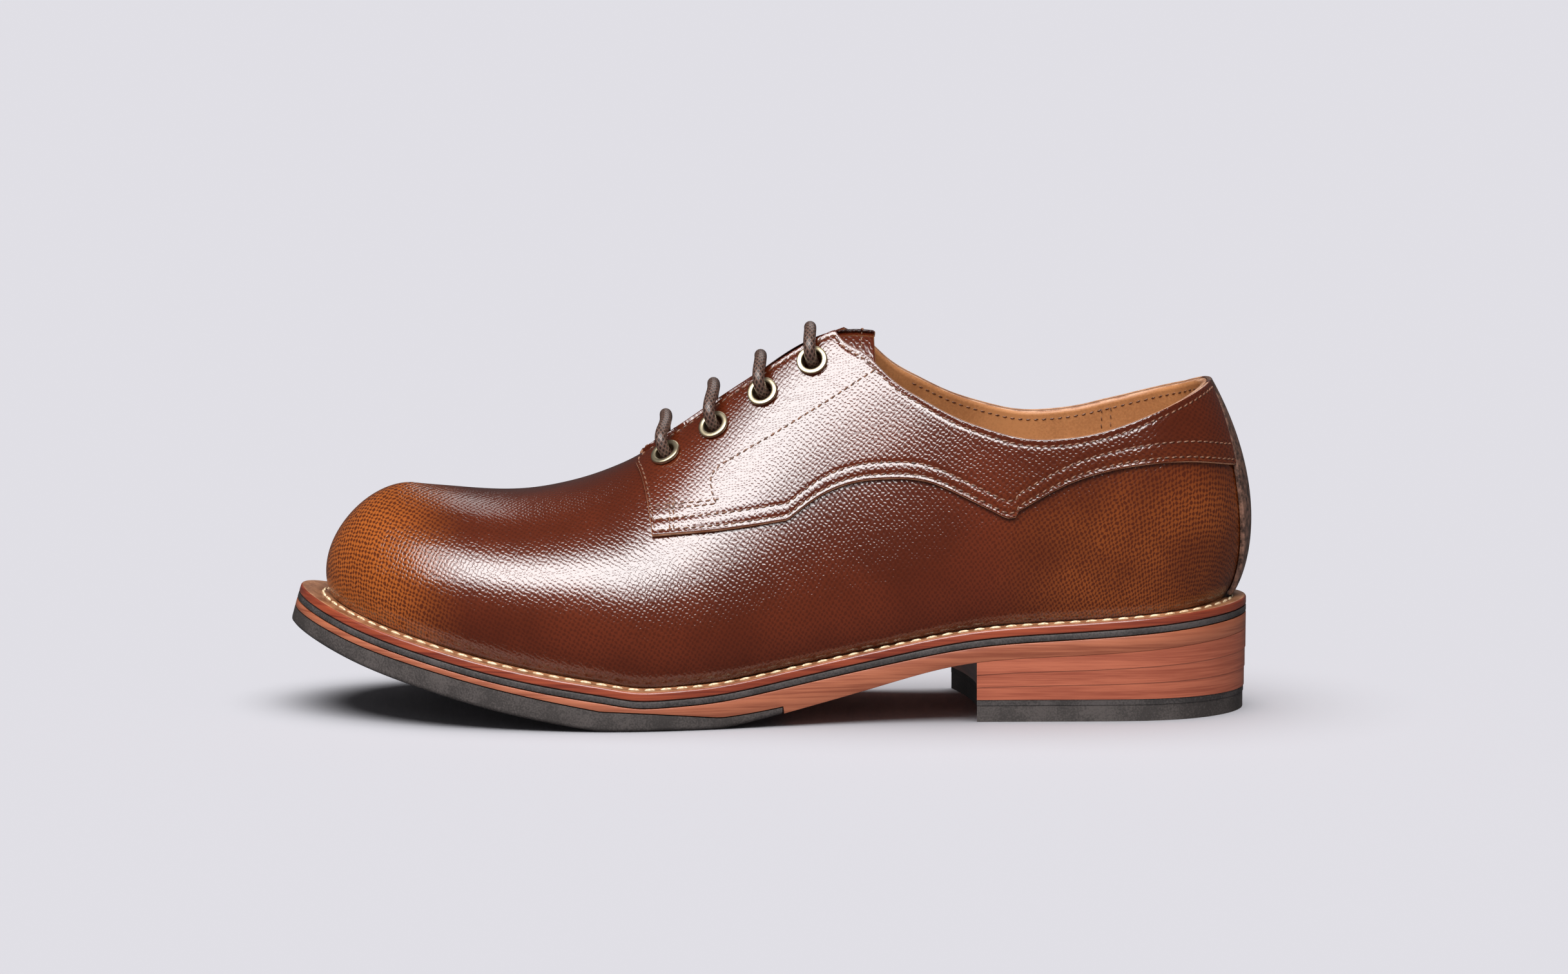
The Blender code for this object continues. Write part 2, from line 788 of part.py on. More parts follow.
def make_upper(material):
    """The upper: vamp, lower quarters and lining as one hollow wall, open at throat and collar."""
    angles, rear = upper_angles()
    count = len(angles)
    back = np.zeros(count, bool)
    back[:rear] = True
    back[count - rear + 1 :] = True
    top = np.where(back, top_rise(angles), 1.0)
    shares = np.linspace(0, 1, UPPER_ROWS + 1) ** ROW_CROWDING
    grid = np.stack([skin(angles, share * top) for share in shares])
    obj = open_surface("upper", grid, material, closed=True)
    solidify(obj, UPPER_THICK, -1)
    return obj


def strip_angle(side, rise, share, clear=0.0):
    """The angle of the back strip's edge on one side, at a share of its height."""
    wanted = BACK_STRIP_WIDTH * curve_through(BACK_STRIP)(share) + clear
    low = np.zeros_like(wanted)
    high = np.full_like(wanted, 1.2)
    for _ in range(34):
        middle = (low + high) / 2
        past = np.abs(skin(-side * middle, rise)[..., 1]) > wanted
        high = np.where(past, middle, high)
        low = np.where(past, low, middle)
    return -side * (low + high) / 2


def quarter_columns(side, sweep, number):
    """Angles of a quarter's points under one sweep: rows from the edge up, columns heelwards."""
    up = np.linspace(0, 1, QUARTER_ROWS + 1)[:, None]
    share = np.linspace(sweep[0][0], sweep[-1][0], number + 1)[None, :]
    front = HEEL_END - QUARTER_FRONT_SWEEP[0][0] * SOLE_LENGTH
    x = HEEL_END - share * SOLE_LENGTH
    fade = 1 - smooth_step((x - front) / FACING_FADE)
    angle = angle_at(side, x - curve_through(FACING_FRONT)(up) * fade, FACING_LEVEL)
    near = np.array([STRIP_JOIN_ANGLE * -side])
    low, top = edge_rise(near, QUARTER_BACK_SWEEP), top_rise(near)
    rise = low + (top - low) * up
    end = strip_angle(side, rise, rise / top, GAP)
    start = angle_at(side, np.array([HEEL_END - STRIP_JOIN * SOLE_LENGTH]), FACING_LEVEL)
    along = np.clip((STRIP_JOIN - share) / (STRIP_JOIN - QUARTER_BACK_SWEEP[-1][0]), 0, 1)
    return np.where(along > 0, start + (end - start) * along, angle)


def make_quarter(name, side, material):
    """One quarter with its facing: an overlay from the throat back to the back strip."""
    up = np.linspace(0, 1, QUARTER_ROWS + 1)[:, None]
    blocks = []
    for sweep, number in zip(QUARTER_SWEEPS, QUARTER_SWEEP_COLUMNS):
        angle = quarter_columns(side, sweep, number)
        if blocks:
            angle = angle[:, 1:]
        low, top = edge_rise(angle, sweep), top_rise(angle)
        blocks.append(over_skin(angle, low + (top - low) * up, OVERLAY_GAP))
    obj = open_surface(name, np.concatenate(blocks, axis=1), material)
    solidify(obj, QUARTER_THICK, 1)
    return obj


def make_back_strip(material):
    """The strip over the back seam, from the welt to the collar."""
    share = np.linspace(0, 1, BACK_STRIP_ROWS + 1)[:, None] ** ROW_CROWDING
    seam = np.array([0.0])
    low, top = rise_over_welt(seam, BACK_STRIP_THICK), top_rise(seam)
    edge = strip_angle(LATERAL, low + (top - low) * share, share)
    angle = edge * np.linspace(1, -1, BACK_STRIP_COLUMNS + 1)[None, :]
    low = rise_over_welt(angle, BACK_STRIP_THICK)
    level = low + (top_rise(angle) - low) * share
    obj = open_surface("back_strip", over_skin(angle, level, GAP), material)
    solidify(obj, BACK_STRIP_THICK, 1)
    return obj


def make_tongue(material):
    """The tongue: an arched strip under the throat that shows above the facings."""
    share = np.linspace(0, 1, TONGUE_ROWS + 1)[:, None]
    across = np.linspace(-1, 1, 2 * TONGUE_HALF_COLUMNS + 1)[None, :]
    x = HEEL_END - (TONGUE_FRONT + (TONGUE_BACK - TONGUE_FRONT) * share) + 0 * across
    free = np.clip((share - TONGUE_FREE) / (1 - TONGUE_FREE), 0, 1)
    half = (TONGUE_ROOT_WIDTH + (TONGUE_WIDTH - TONGUE_ROOT_WIDTH) * smooth_step(share / TONGUE_SPREAD)) / 2
    ridge = RIDGE_SWING * swing_share(share_of(x))
    halves = []
    for side in (LATERAL, MEDIAL):
        reach = np.abs(across) * half

        def reached(points, reach=reach):
            return np.abs(points[..., 1] - ridge) < reach

        angle = angle_at(side, x, TONGUE_LEVEL)
        rise = np.minimum(solve_rise(angle, reached), 0.9995)
        halves.append(over_skin(angle, rise, -UPPER_THICK - TONGUE_CLEAR))
    grid = np.where(across[..., None] > 0, halves[1], halves[0])
    grid[:, TONGUE_HALF_COLUMNS, 1] = ridge[:, TONGUE_HALF_COLUMNS]
    grid[..., 2] -= (TONGUE_SAG + TONGUE_CURL * across**2) * free**2
    grid[..., 0] += TONGUE_CORNER_ROUND * free * across**2
    obj = open_surface("tongue", grid, material)
    solidify(obj, TONGUE_THICK, -1)
    return obj


def make_insole(material):
    """The insole, a plate inside the upper on the welt's ledge."""
    stations = INSOLE_STATIONS
    angles = np.linspace(0.0, math.pi, stations)
    points = []
    for depth in (GAP, GAP + INSOLE_THICK):
        for turn in (angles, -angles):
            inset = WELT_WIDTH * welt_share(turn) + UPPER_THICK + 2 * GAP
            x, y = sole_edge(turn, inset)
            points += list(zip(x, y, welt_top(x) + depth))

    def at(level, side, k):
        return (level * 2 + side) * stations + k

    faces = []
    for k in range(stations - 1):
        faces.append((at(0, 0, k), at(0, 1, k), at(0, 1, k + 1), at(0, 0, k + 1)))
        faces.append((at(1, 0, k), at(1, 0, k + 1), at(1, 1, k + 1), at(1, 1, k)))
        for side in (0, 1):
            faces.append((at(0, side, k), at(0, side, k + 1), at(1, side, k + 1), at(1, side, k)))
    return new_object("insole", mesh_from("insole", points, faces), material)


def eyelet_seat(side, number):
    """Centre on the quarter's outer face and outward direction of an eyelet."""
    x = HEEL_END - EYELET_FIRST + EYELET_PITCH * number
    ridge = RIDGE_SWING * float(swing_share(share_of(x)))
    away = THROAT_WIDTH / 2 + EYELET_INSETS[number]

    def reached(points):
        return np.abs(points[..., 1] - ridge) < away

    angle = angle_at(side, np.array([x]), FACING_TOP_LEVEL)
    rise = solve_rise(angle, reached)
    normal = Vector(skin_normal(angle, rise)[0])
    centre = Vector(over_skin(angle, rise, OVERLAY_GAP + QUARTER_THICK)[0])
    return centre, normal


def turned(name, profile, centre, direction, material, sides=RING_SIDES):
    """A ring from a closed profile of (radius, height) points, turned about a direction."""
    points = []
    for s in range(sides):
        angle = 2 * math.pi * s / sides
        points += [(r * math.cos(angle), r * math.sin(angle), h) for r, h in profile]
    count = len(profile)
    faces = []
    for s in range(sides):
        t = (s + 1) % sides
        for i in range(count):
            j = (i + 1) % count
            faces.append((s * count + i, t * count + i, t * count + j, s * count + j))
    obj = new_object(name, mesh_from(name, points, faces), material)
    obj.matrix_world = Matrix.Translation(centre) @ direction.to_track_quat("Z", "Y").to_matrix().to_4x4()
    return obj


def make_eyelets(material, walls):
    """The brass eyelets and the holes for them through facing and upper."""
    wall = QUARTER_THICK + GAP + UPPER_THICK
    outer = EYELET_HOLE_RADIUS + EYELET_BARREL_WALL
    low, high = GAP, GAP + EYELET_FLANGE_HEIGHT
    profile = (
        (EYELET_HOLE_RADIUS, high * 0.75),
        (EYELET_HOLE_RADIUS, -wall),
        (outer, -wall),
        (outer, low),
        (EYELET_FLANGE_RADIUS, low),
        (EYELET_FLANGE_RADIUS * 0.88, high),
        (EYELET_HOLE_RADIUS * 1.13, high),
    )
    for side, word in ((LATERAL, "outer"), (MEDIAL, "inner")):
        work = bmesh.new()
        for number in range(EYELETS_A_SIDE):
            centre, normal = eyelet_seat(side, number)
            turned(f"eyelet_{word}_{number + 1}", profile, centre, normal, material)
            turn = normal.to_track_quat("Z", "Y").to_matrix().to_4x4()
            bmesh.ops.create_cone(
                work,
                cap_ends=True,
                segments=RING_SIDES,
                radius1=outer + GAP,
                radius2=outer + GAP,
                depth=6 * wall,
                matrix=Matrix.Translation(centre) @ turn,
            )
        mesh = bpy.data.meshes.new(f"holes_{word}")
        work.to_mesh(mesh)
        work.free()
        cutter = new_cutter(f"holes_{word}", mesh)
        for obj in (walls["upper"], walls[word]):
            cut(obj, cutter)


def lace_route(number):
    """Points of one lace bar: out of the outer eyelet, over the throat, into the inner one."""
    arch, shift = LACE_BARS[number]
    depth = QUARTER_THICK + GAP + UPPER_THICK - LACE_TAIL
    over = LACE_RADIUS + GAP + EYELET_FLANGE_HEIGHT
    clear = GAP + QUARTER_THICK + GAP + LACE_RADIUS + LACE_LIFT
    ends = []
    for side in (LATERAL, MEDIAL):
        centre, normal = eyelet_seat(side, number)
        angle = angle_at(side, np.array([centre.x]), TONGUE_LEVEL)
        edge = Vector(over_skin(angle, throat_rise(angle), clear)[0]) + Vector((shift, 0, arch))
        ends.append(
            [
                centre - normal * depth,
                centre + normal * LACE_LIFT,
                centre + normal * over + (edge - centre) * LACE_LEAN,
                edge,
            ]
        )
    middle = (ends[0][-1] + ends[1][-1]) / 2 + Vector((0, 0, LACE_CROWN + arch * 0.4))
    return ends[0] + [middle] + ends[1][::-1]


def smooth_route(points, step):
    """Points a step apart on a smooth curve through the route's own points."""
    lengths = [0.0]
    for a, b in zip(points, points[1:]):
        lengths.append(lengths[-1] + (b - a).length)
    axes = [curve_through([(s, p[i]) for s, p in zip(lengths, points)]) for i in range(3)]
    count = max(2, round(lengths[-1] / step))
    places = np.linspace(0, lengths[-1], count + 1)
    return [Vector([float(axis(s)) for axis in axes]) for s in places]


def make_lace(material):
    """The lace: one round cord bar across the throat for each pair of eyelets."""
    for number in range(EYELETS_A_SIDE):
        name = f"lace_bar_{number + 1}"
        route = smooth_route(lace_route(number), LACE_STEPS * LACE_RADIUS)
        curve = bpy.data.curves.new(name, "CURVE")
        curve.dimensions = "3D"
        curve.bevel_depth = LACE_RADIUS
        curve.bevel_resolution = 2
        curve.use_fill_caps = True
        spline = curve.splines.new("POLY")
        spline.points.add(len(route) - 1)
        for point, place in zip(spline.points, route):
            point.co = (*place, 1.0)
        curve.materials.append(material)
        obj = bpy.data.objects.new(name, curve)
        SHOE.objects.link(obj)


def new_material(name, colour, roughness, metallic=0.0):
    """A Principled material of one colour."""
    material = bpy.data.materials.new(name)
    material.use_nodes = True
    shader = material.node_tree.nodes["Principled BSDF"]
    shader.inputs["Base Color"].default_value = (*colour, 1.0)
    shader.inputs["Roughness"].default_value = roughness
    shader.inputs["Metallic"].default_value = metallic
    material.diffuse_color = (*colour, 1.0)
    return material


def make_materials():
    """The finishes of the shoe's parts."""
    return {
        "upper_leather": new_material("upper_leather", (0.20, 0.055, 0.018), 0.32),
        "lining_leather": new_material("lining_leather", (0.42, 0.20, 0.07), 0.55),
        "strip_leather": new_material("strip_leather", (0.11, 0.05, 0.03), 0.5),
        "welt_leather": new_material("welt_leather", (0.27, 0.06, 0.03), 0.35),
        "sole_leather": new_material("sole_leather", (0.42, 0.13, 0.055), 0.45),
        "heel_leather": new_material("heel_leather", (0.36, 0.12, 0.06), 0.4),
        "dark_rubber": new_material("dark_rubber", (0.04, 0.034, 0.03), 0.6),
        "tread_rubber": new_material("tread_rubber", (0.09, 0.075, 0.065), 0.7),
        "brass": new_material("brass", (0.45, 0.38, 0.22), 0.3, 1.0),
        "lace_cord": new_material("lace_cord", (0.06, 0.038, 0.03), 0.55),
    }


def clear_scene():
    """Removes whatever the file holds."""
    for obj in list(bpy.data.objects):
        bpy.data.objects.remove(obj)


clear_scene()
SHOE = bpy.data.collections.new("derby_shoe")
CUTTERS = bpy.data.collections.new("cutters")
for collection in (SHOE, CUTTERS):
    bpy.context.scene.collection.children.link(collection)

finishes = make_materials()
make_welt(finishes["welt_leather"])
make_sole(finishes)
make_heel(finishes)
make_insole(finishes["lining_leather"])
shells = {
    "upper": make_upper(finishes["upper_leather"]),
    "outer": make_quarter("quarter_outer", LATERAL, finishes["upper_leather"]),
    "inner": make_quarter("quarter_inner", MEDIAL, finishes["upper_leather"]),
}
make_back_strip(finishes["strip_leather"])
make_tongue(finishes["upper_leather"])
make_eyelets(finishes["brass"], shells)
make_lace(finishes["lace_cord"])
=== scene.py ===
"""The looks of a left derby shoe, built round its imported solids.

The skin of the last is worked out here from the same sizes and tables as the solids, and each
leather piece, sole layer, stitch, eyelet and lace is laid on it at a finer grain.
Metres, +Z up. The toe points to -X, the outer side of the foot is -Y, and the floor is z = 0.
"""

import logging
import math
from dataclasses import dataclass, field
from enum import Enum
from typing import Callable, Sequence

import bmesh
import bpy
import numpy as np
from mathutils import Matrix, Vector


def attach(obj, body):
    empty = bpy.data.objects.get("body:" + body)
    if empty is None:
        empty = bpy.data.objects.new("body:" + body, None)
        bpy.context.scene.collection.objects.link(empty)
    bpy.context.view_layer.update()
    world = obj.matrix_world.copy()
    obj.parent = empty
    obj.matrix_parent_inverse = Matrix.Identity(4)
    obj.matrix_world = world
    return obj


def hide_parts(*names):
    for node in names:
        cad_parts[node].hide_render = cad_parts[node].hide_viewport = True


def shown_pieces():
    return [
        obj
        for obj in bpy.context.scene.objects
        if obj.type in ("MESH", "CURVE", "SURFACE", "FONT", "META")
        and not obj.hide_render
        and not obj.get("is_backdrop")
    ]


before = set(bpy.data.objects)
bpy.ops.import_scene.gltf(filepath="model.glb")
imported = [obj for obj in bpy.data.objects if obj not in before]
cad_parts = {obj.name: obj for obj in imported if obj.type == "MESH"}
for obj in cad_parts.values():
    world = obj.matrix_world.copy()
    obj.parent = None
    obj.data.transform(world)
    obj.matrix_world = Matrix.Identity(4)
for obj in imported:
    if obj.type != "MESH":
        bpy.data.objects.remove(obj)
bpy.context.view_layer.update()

LOG = logging.getLogger("derby_shoe")
BODY = "root"

Array = np.ndarray
Rows = Sequence[Sequence[float]]
Height = Callable[[Array], Array]
Mesh = bpy.types.Mesh
Object = bpy.types.Object
Material = bpy.types.Material
Socket = bpy.types.NodeSocket
Colour = tuple[float, float, float, float]


class Side(Enum):
    """The two sides of the foot, as the sign of Y."""

    OUTER = -1
    INNER = 1


class Slot(Enum):
    """Names of the material slots."""

    UPPER = "upper_leather"
    STRIP = "strip_leather"
    LINING = "lining_leather"
    WELT = "welt_leather"
    SOLE = "sole_leather"
    HEEL = "heel_leather"
    DARK_RUBBER = "dark_rubber"
    TREAD_RUBBER = "tread_rubber"
    BRASS = "brass"
    LACE = "lace_cord"


# Each soft light: name, azimuth and elevation in degrees, distance, width and height, radiance
SOFTBOXES = (
    ("key", -20.0, 48.0, 1.7, (2.4, 1.1), 4.6),
    ("core", -14.0, 48.0, 1.65, (1.7, 0.6), 8.0),
    ("back", 160.0, 50.0, 1.7, (1.4, 1.0), 1.6),
)

# Points nearer than this are one point
JOIN_REACH = 1e-6

# Widths that rows of the sole's outline follow
BALL = 0.107
WAIST = 0.069
HEEL = 0.069

# Sole edge seen from above, heel to toe: share of the sole's length, the width that
# the row follows, reach of the outer and inner side, and the welt's share of its width
OUTLINE = (
    (0.000, HEEL, 0.000, 0.000, 0.83),
    (0.030, HEEL, 0.310, 0.300, 0.76),
    (0.090, HEEL, 0.462, 0.460, 0.64),
    (0.180, HEEL, 0.500, 0.490, 0.64),
    (0.300, WAIST, 0.515, 0.455, 0.66),
    (0.420, WAIST, 0.565, 0.425, 0.68),
    (0.530, BALL, 0.439, 0.345, 0.76),
    (0.640, BALL, 0.500, 0.452, 0.84),
    (0.740, BALL, 0.484, 0.490, 0.90),
    (0.840, BALL, 0.407, 0.468, 0.98),
    (0.920, BALL, 0.283, 0.396, 1.08),
    (0.975, BALL, 0.133, 0.263, 1.18),
)

# Height of the tread line: share of the length, shares of the heel lift and toe spring
TREAD = (
    (0.000, 1.000, 0.000),
    (0.110, 0.865, 0.000),
    (0.200, 0.785, 0.000),
    (0.290, 0.690, 0.000),
    (0.377, 0.480, 0.000),
    (0.487, 0.190, 0.000),
    (0.560, 0.030, 0.000),
    (0.600, -0.006, 0.000),
    (0.638, -0.010, 0.000),
    (0.665, 0.000, 0.040),
    (0.690, 0.000, 0.085),
    (0.750, 0.000, 0.198),
    (0.810, 0.000, 0.340),
    (0.870, 0.000, 0.508),
    (0.930, 0.000, 0.699),
    (1.000, 0.000, 1.000),
)

# How much of the waist thinning is taken off below: share of the length, share
THINNING = ((0.00, 0.8), (0.22, 0.9), (0.33, 0.85), (0.40, 0.35), (0.46, 0.0), (1.00, 0.0))

# Thickness of the rubber half sole: share of the length, share of its thickness
RUBBER = ((0.487, 0.42), (0.540, 0.66), (0.600, 1.00), (1.000, 1.00))

# Ridge of the last above the welt: share of the length, shares of the toe box height
# and of the instep height
RIDGE = (
    (0.000, 0.00, 1.160),
    (0.200, 0.00, 1.170),
    (0.300, 0.00, 1.110),
    (0.370, 0.00, 1.090),
    (0.430, 0.00, 1.064),
    (0.470, 0.00, 1.018),
    (0.510, 0.00, 0.950),
    (0.550, 0.00, 0.872),
    (0.589, 0.00, 0.780),
    (0.636, 0.00, 0.676),
    (0.672, 0.00, 0.606),
    (0.714, 0.20, 0.457),
    (0.754, 0.40, 0.326),
    (0.795, 0.60, 0.211),
    (0.834, 0.80, 0.106),
    (0.876, 1.00, 0.000),
    (1.000, 1.00, 0.000),
)

# Form of the sections: share of the length, outer and inner bulge as shares of the side
# bulge, roundness (2 is an ellipse, less is peaked), swing of the ridge, and height of
# the bulge's widest place (more is higher)
SECTIONS = (
    (0.000, 1.70, 1.70, 2.00, 0.00, 0.67),
    (0.050, 1.45, 1.45, 2.00, 0.00, 0.66),
    (0.120, 1.15, 1.15, 2.00, 0.00, 0.62),
    (0.250, 1.00, 0.95, 1.98, -0.10, 0.54),
    (0.360, 1.12, 0.85, 1.60, -0.40, 0.43),
    (0.440, 1.10, 0.85, 1.50, -0.60, 0.46),
    (0.520, 1.02, 0.80, 1.50, -0.70, 0.52),
    (0.600, 0.85, 0.75, 1.66, -0.35, 0.70),
    (0.680, 0.72, 0.70, 2.20, 0.20, 0.82),
    (0.780, 0.50, 0.60, 2.38, 0.75, 0.86),
    (0.880, 0.50, 0.56, 2.12, 1.00, 0.78),
    (1.000, 0.48, 0.48, 2.00, 1.00, 0.70),
)

# Collar line above the welt: share of the length, shares of the collar height, of the
# instep height and of the back height
COLLAR = (
    (0.000, 0.00, 0.000, 1.00),
    (0.038, 0.00, 0.000, 1.00),
    (0.055, 0.10, 0.000, 0.895),
    (0.080, 0.35, 0.000, 0.650),
    (0.110, 0.70, 0.000, 0.320),
    (0.165, 1.01, 0.000, 0.005),
    (0.205, 1.00, 0.000, 0.000),
    (0.240, 1.015, 0.000, 0.00),
    (0.272, 1.07, 0.000, 0.00),
    (0.311, 1.10, 0.040, 0.00),
    (0.345, 1.00, 0.170, 0.00),
    (0.377, 0.80, 0.367, 0.00),
    (0.404, 0.40, 0.686, 0.00),
    (0.430, 0.00, 0.986, 0.00),
    (0.465, 0.00, 1.300, 0.00),
)

# Lower edge of the quarter above the welt, in three sweeps that meet in corners: share
# of the length, share of the quarter's rise
FRONT_SWEEP = ((0.620, 0.918), (0.562, 0.928), (0.482, 0.916))
SIDE_SWEEP = (
    (0.482, 0.916),
    (0.450, 1.016),
    (0.411, 1.058),
    (0.377, 1.036),
    (0.338, 0.972),
    (0.298, 0.834),
    (0.257, 0.684),
)
BACK_SWEEP = (
    (0.257, 0.684),
    (0.239, 0.738),
    (0.200, 0.852),
    (0.167, 0.914),
    (0.127, 0.948),
    (0.088, 0.950),
    (0.050, 0.915),
    (0.020, 0.860),
)
SWEEPS = (FRONT_SWEEP, SIDE_SWEEP, BACK_SWEEP)

# Front edge of the facing, bottom to top: share of its height, step towards the toe
FACING_FRONT = ((0.00, 0.0000), (0.50, 0.0030), (0.80, 0.0052), (0.93, 0.0048), (1.00, 0.0022))

# Half width of the back strip, bottom to top: share of its height, share of its width
BACK_STRIP = ((0.00, 0.30), (0.35, 0.50), (0.65, 0.46), (1.00, 0.24))

# Seam round the eyelet facing, from the collar down to the vamp corner: share of the
# length, height above the welt as a share of the instep height
FACING_SEAM = (
    (0.390, 0.853),
    (0.406, 0.834),
    (0.438, 0.791),
    (0.495, 0.720),
    (0.518, 0.693),
    (0.550, 0.652),
    (0.5595, 0.626),
    (0.5600, 0.600),
    (0.5585, 0.568),
    (0.5545, 0.541),
)
SEAM_TAILS = (((0.5545, 0.541), (0.6190, 0.532)), ((0.5500, 0.553), (0.6190, 0.544)))
FRONT_TACKS = (((0.5985, 0.572), (0.5985, 0.470)), ((0.6025, 0.572), (0.6025, 0.470)))

# Gap between the two rows of stitches along the quarter's lower edge: share of the length, metres
ROW_SPREAD = ((0.05, 0.0049), (0.15, 0.0041), (0.30, 0.0036), (0.62, 0.0038))

# Each lace bar, toe to heel: its rise over the facings, and its shift towards the heel
LACE_BARS = ((0.0030, 0.0020), (0.0028, 0.0020), (0.0018, 0.0012), (0.0014, 0.0008))


class Spline:
    """A natural cubic curve through rows of (place, value)."""

    def __init__(self, rows: Rows) -> None:
        """Solves for the bend at each row.

        Args:
            rows: pairs of place and value, in any order.
        """
        rows = sorted(rows)
        self.places = np.array([row[0] for row in rows], float)
        self.values = np.array([row[1] for row in rows], float)
        self.steps = np.diff(self.places)
        slopes = np.diff(self.values) / self.steps
        system = np.eye(len(rows))
        right = np.zeros(len(rows))
        for i in range(1, len(rows) - 1):
            system[i, i - 1 : i + 2] = (
                self.steps[i - 1],
                2 * (self.steps[i - 1] + self.steps[i]),
                self.steps[i],
            )
            right[i] = 6 * (slopes[i] - slopes[i - 1])
        self.bends = np.linalg.solve(system, right)

    def __call__(self, at: Array | float) -> Array:
        """The curve's value at places, held level past its ends."""
        at = np.clip(at, self.places[0], self.places[-1])
        i = np.clip(np.searchsorted(self.places, at) - 1, 0, len(self.places) - 2)
        step = self.steps[i]
        before = (self.places[i + 1] - at) / step
        after = 1 - before
        bent = (before**3 - before) * self.bends[i] + (after**3 - after) * self.bends[i + 1]
        return before * self.values[i] + after * self.values[i + 1] + bent * step**2 / 6


class Loop(Spline):
    """A smooth closed function of an angle, through (angle, value) rows of one full turn."""

    LEAD = 4

    def __init__(self, rows: Rows) -> None:
        """Repeats the first and last rows one turn on, so that the curve closes smoothly."""
        rows = sorted(rows)
        turn = 2 * math.pi
        before = [(angle - turn, value) for angle, value in rows[-self.LEAD :]]
        after = [(angle + turn, value) for angle, value in rows[: self.LEAD]]
        super().__init__(before + list(rows) + after)

    def __call__(self, at: Array | float) -> Array:
        """The value at angles, in radians."""
        return super().__call__(np.mod(at, 2 * math.pi))


def smooth_step(share: Array | float) -> Array:
    """0 to 1 with a soft start and a soft end."""
    share = np.clip(share, 0, 1)
    return share * share * (3 - 2 * share)


def angle_of(share: Array | float) -> Array:
    """The turn round the sole at which a share of its length is reached, on the outer side."""
    return np.arccos(np.clip(1 - 2 * np.asarray(share, float), -1, 1))


def round_rows(
    rows: Sequence[Sequence],
    outer: Callable[[Sequence], float],
    inner: Callable[[Sequence], float],
    toe: float | None = None,
) -> list[tuple[float, float]]:
    """Rows of a loop round the shoe.

    Args:
        rows: table rows that start with a share of the length.
        outer: the value of a row on the outer side.
        inner: the value of a row on the inner side.
        toe: the value at the tip of the toe, where it isn't the last row's.

    Returns:
        (angle, value) rows: the outer side from heel to toe, then the inner side.
    """
    made = []
    for row in rows:
        angle = float(angle_of(row[0]))
        if 0 < row[0] < 1:
            made.append((angle, outer(row)))
            made.append((2 * math.pi - angle, inner(row)))
    last = outer(rows[-1]) if toe is None else toe
    return made + [(0.0, outer(rows[0])), (math.pi, last)]


def unit(vectors: Array) -> Array:
    """Vectors brought to length 1."""
    return vectors / np.maximum(np.linalg.norm(vectors, axis=-1, keepdims=True), 1e-12)


def lengths_of(line: Array) -> Array:
    """The length run along a line at each of its points."""
    return np.concatenate([[0.0], np.cumsum(np.linalg.norm(np.diff(line, axis=0), axis=-1))])


def halve(low: Array, high: Array, past: Callable[[Array], Array]) -> Array:
    """The places between low and high at which past() first becomes true."""
    for _ in range(30):
        middle = (low + high) / 2
        over = past(middle)
        high = np.where(over, middle, high)
        low = np.where(over, low, middle)
    return (low + high) / 2


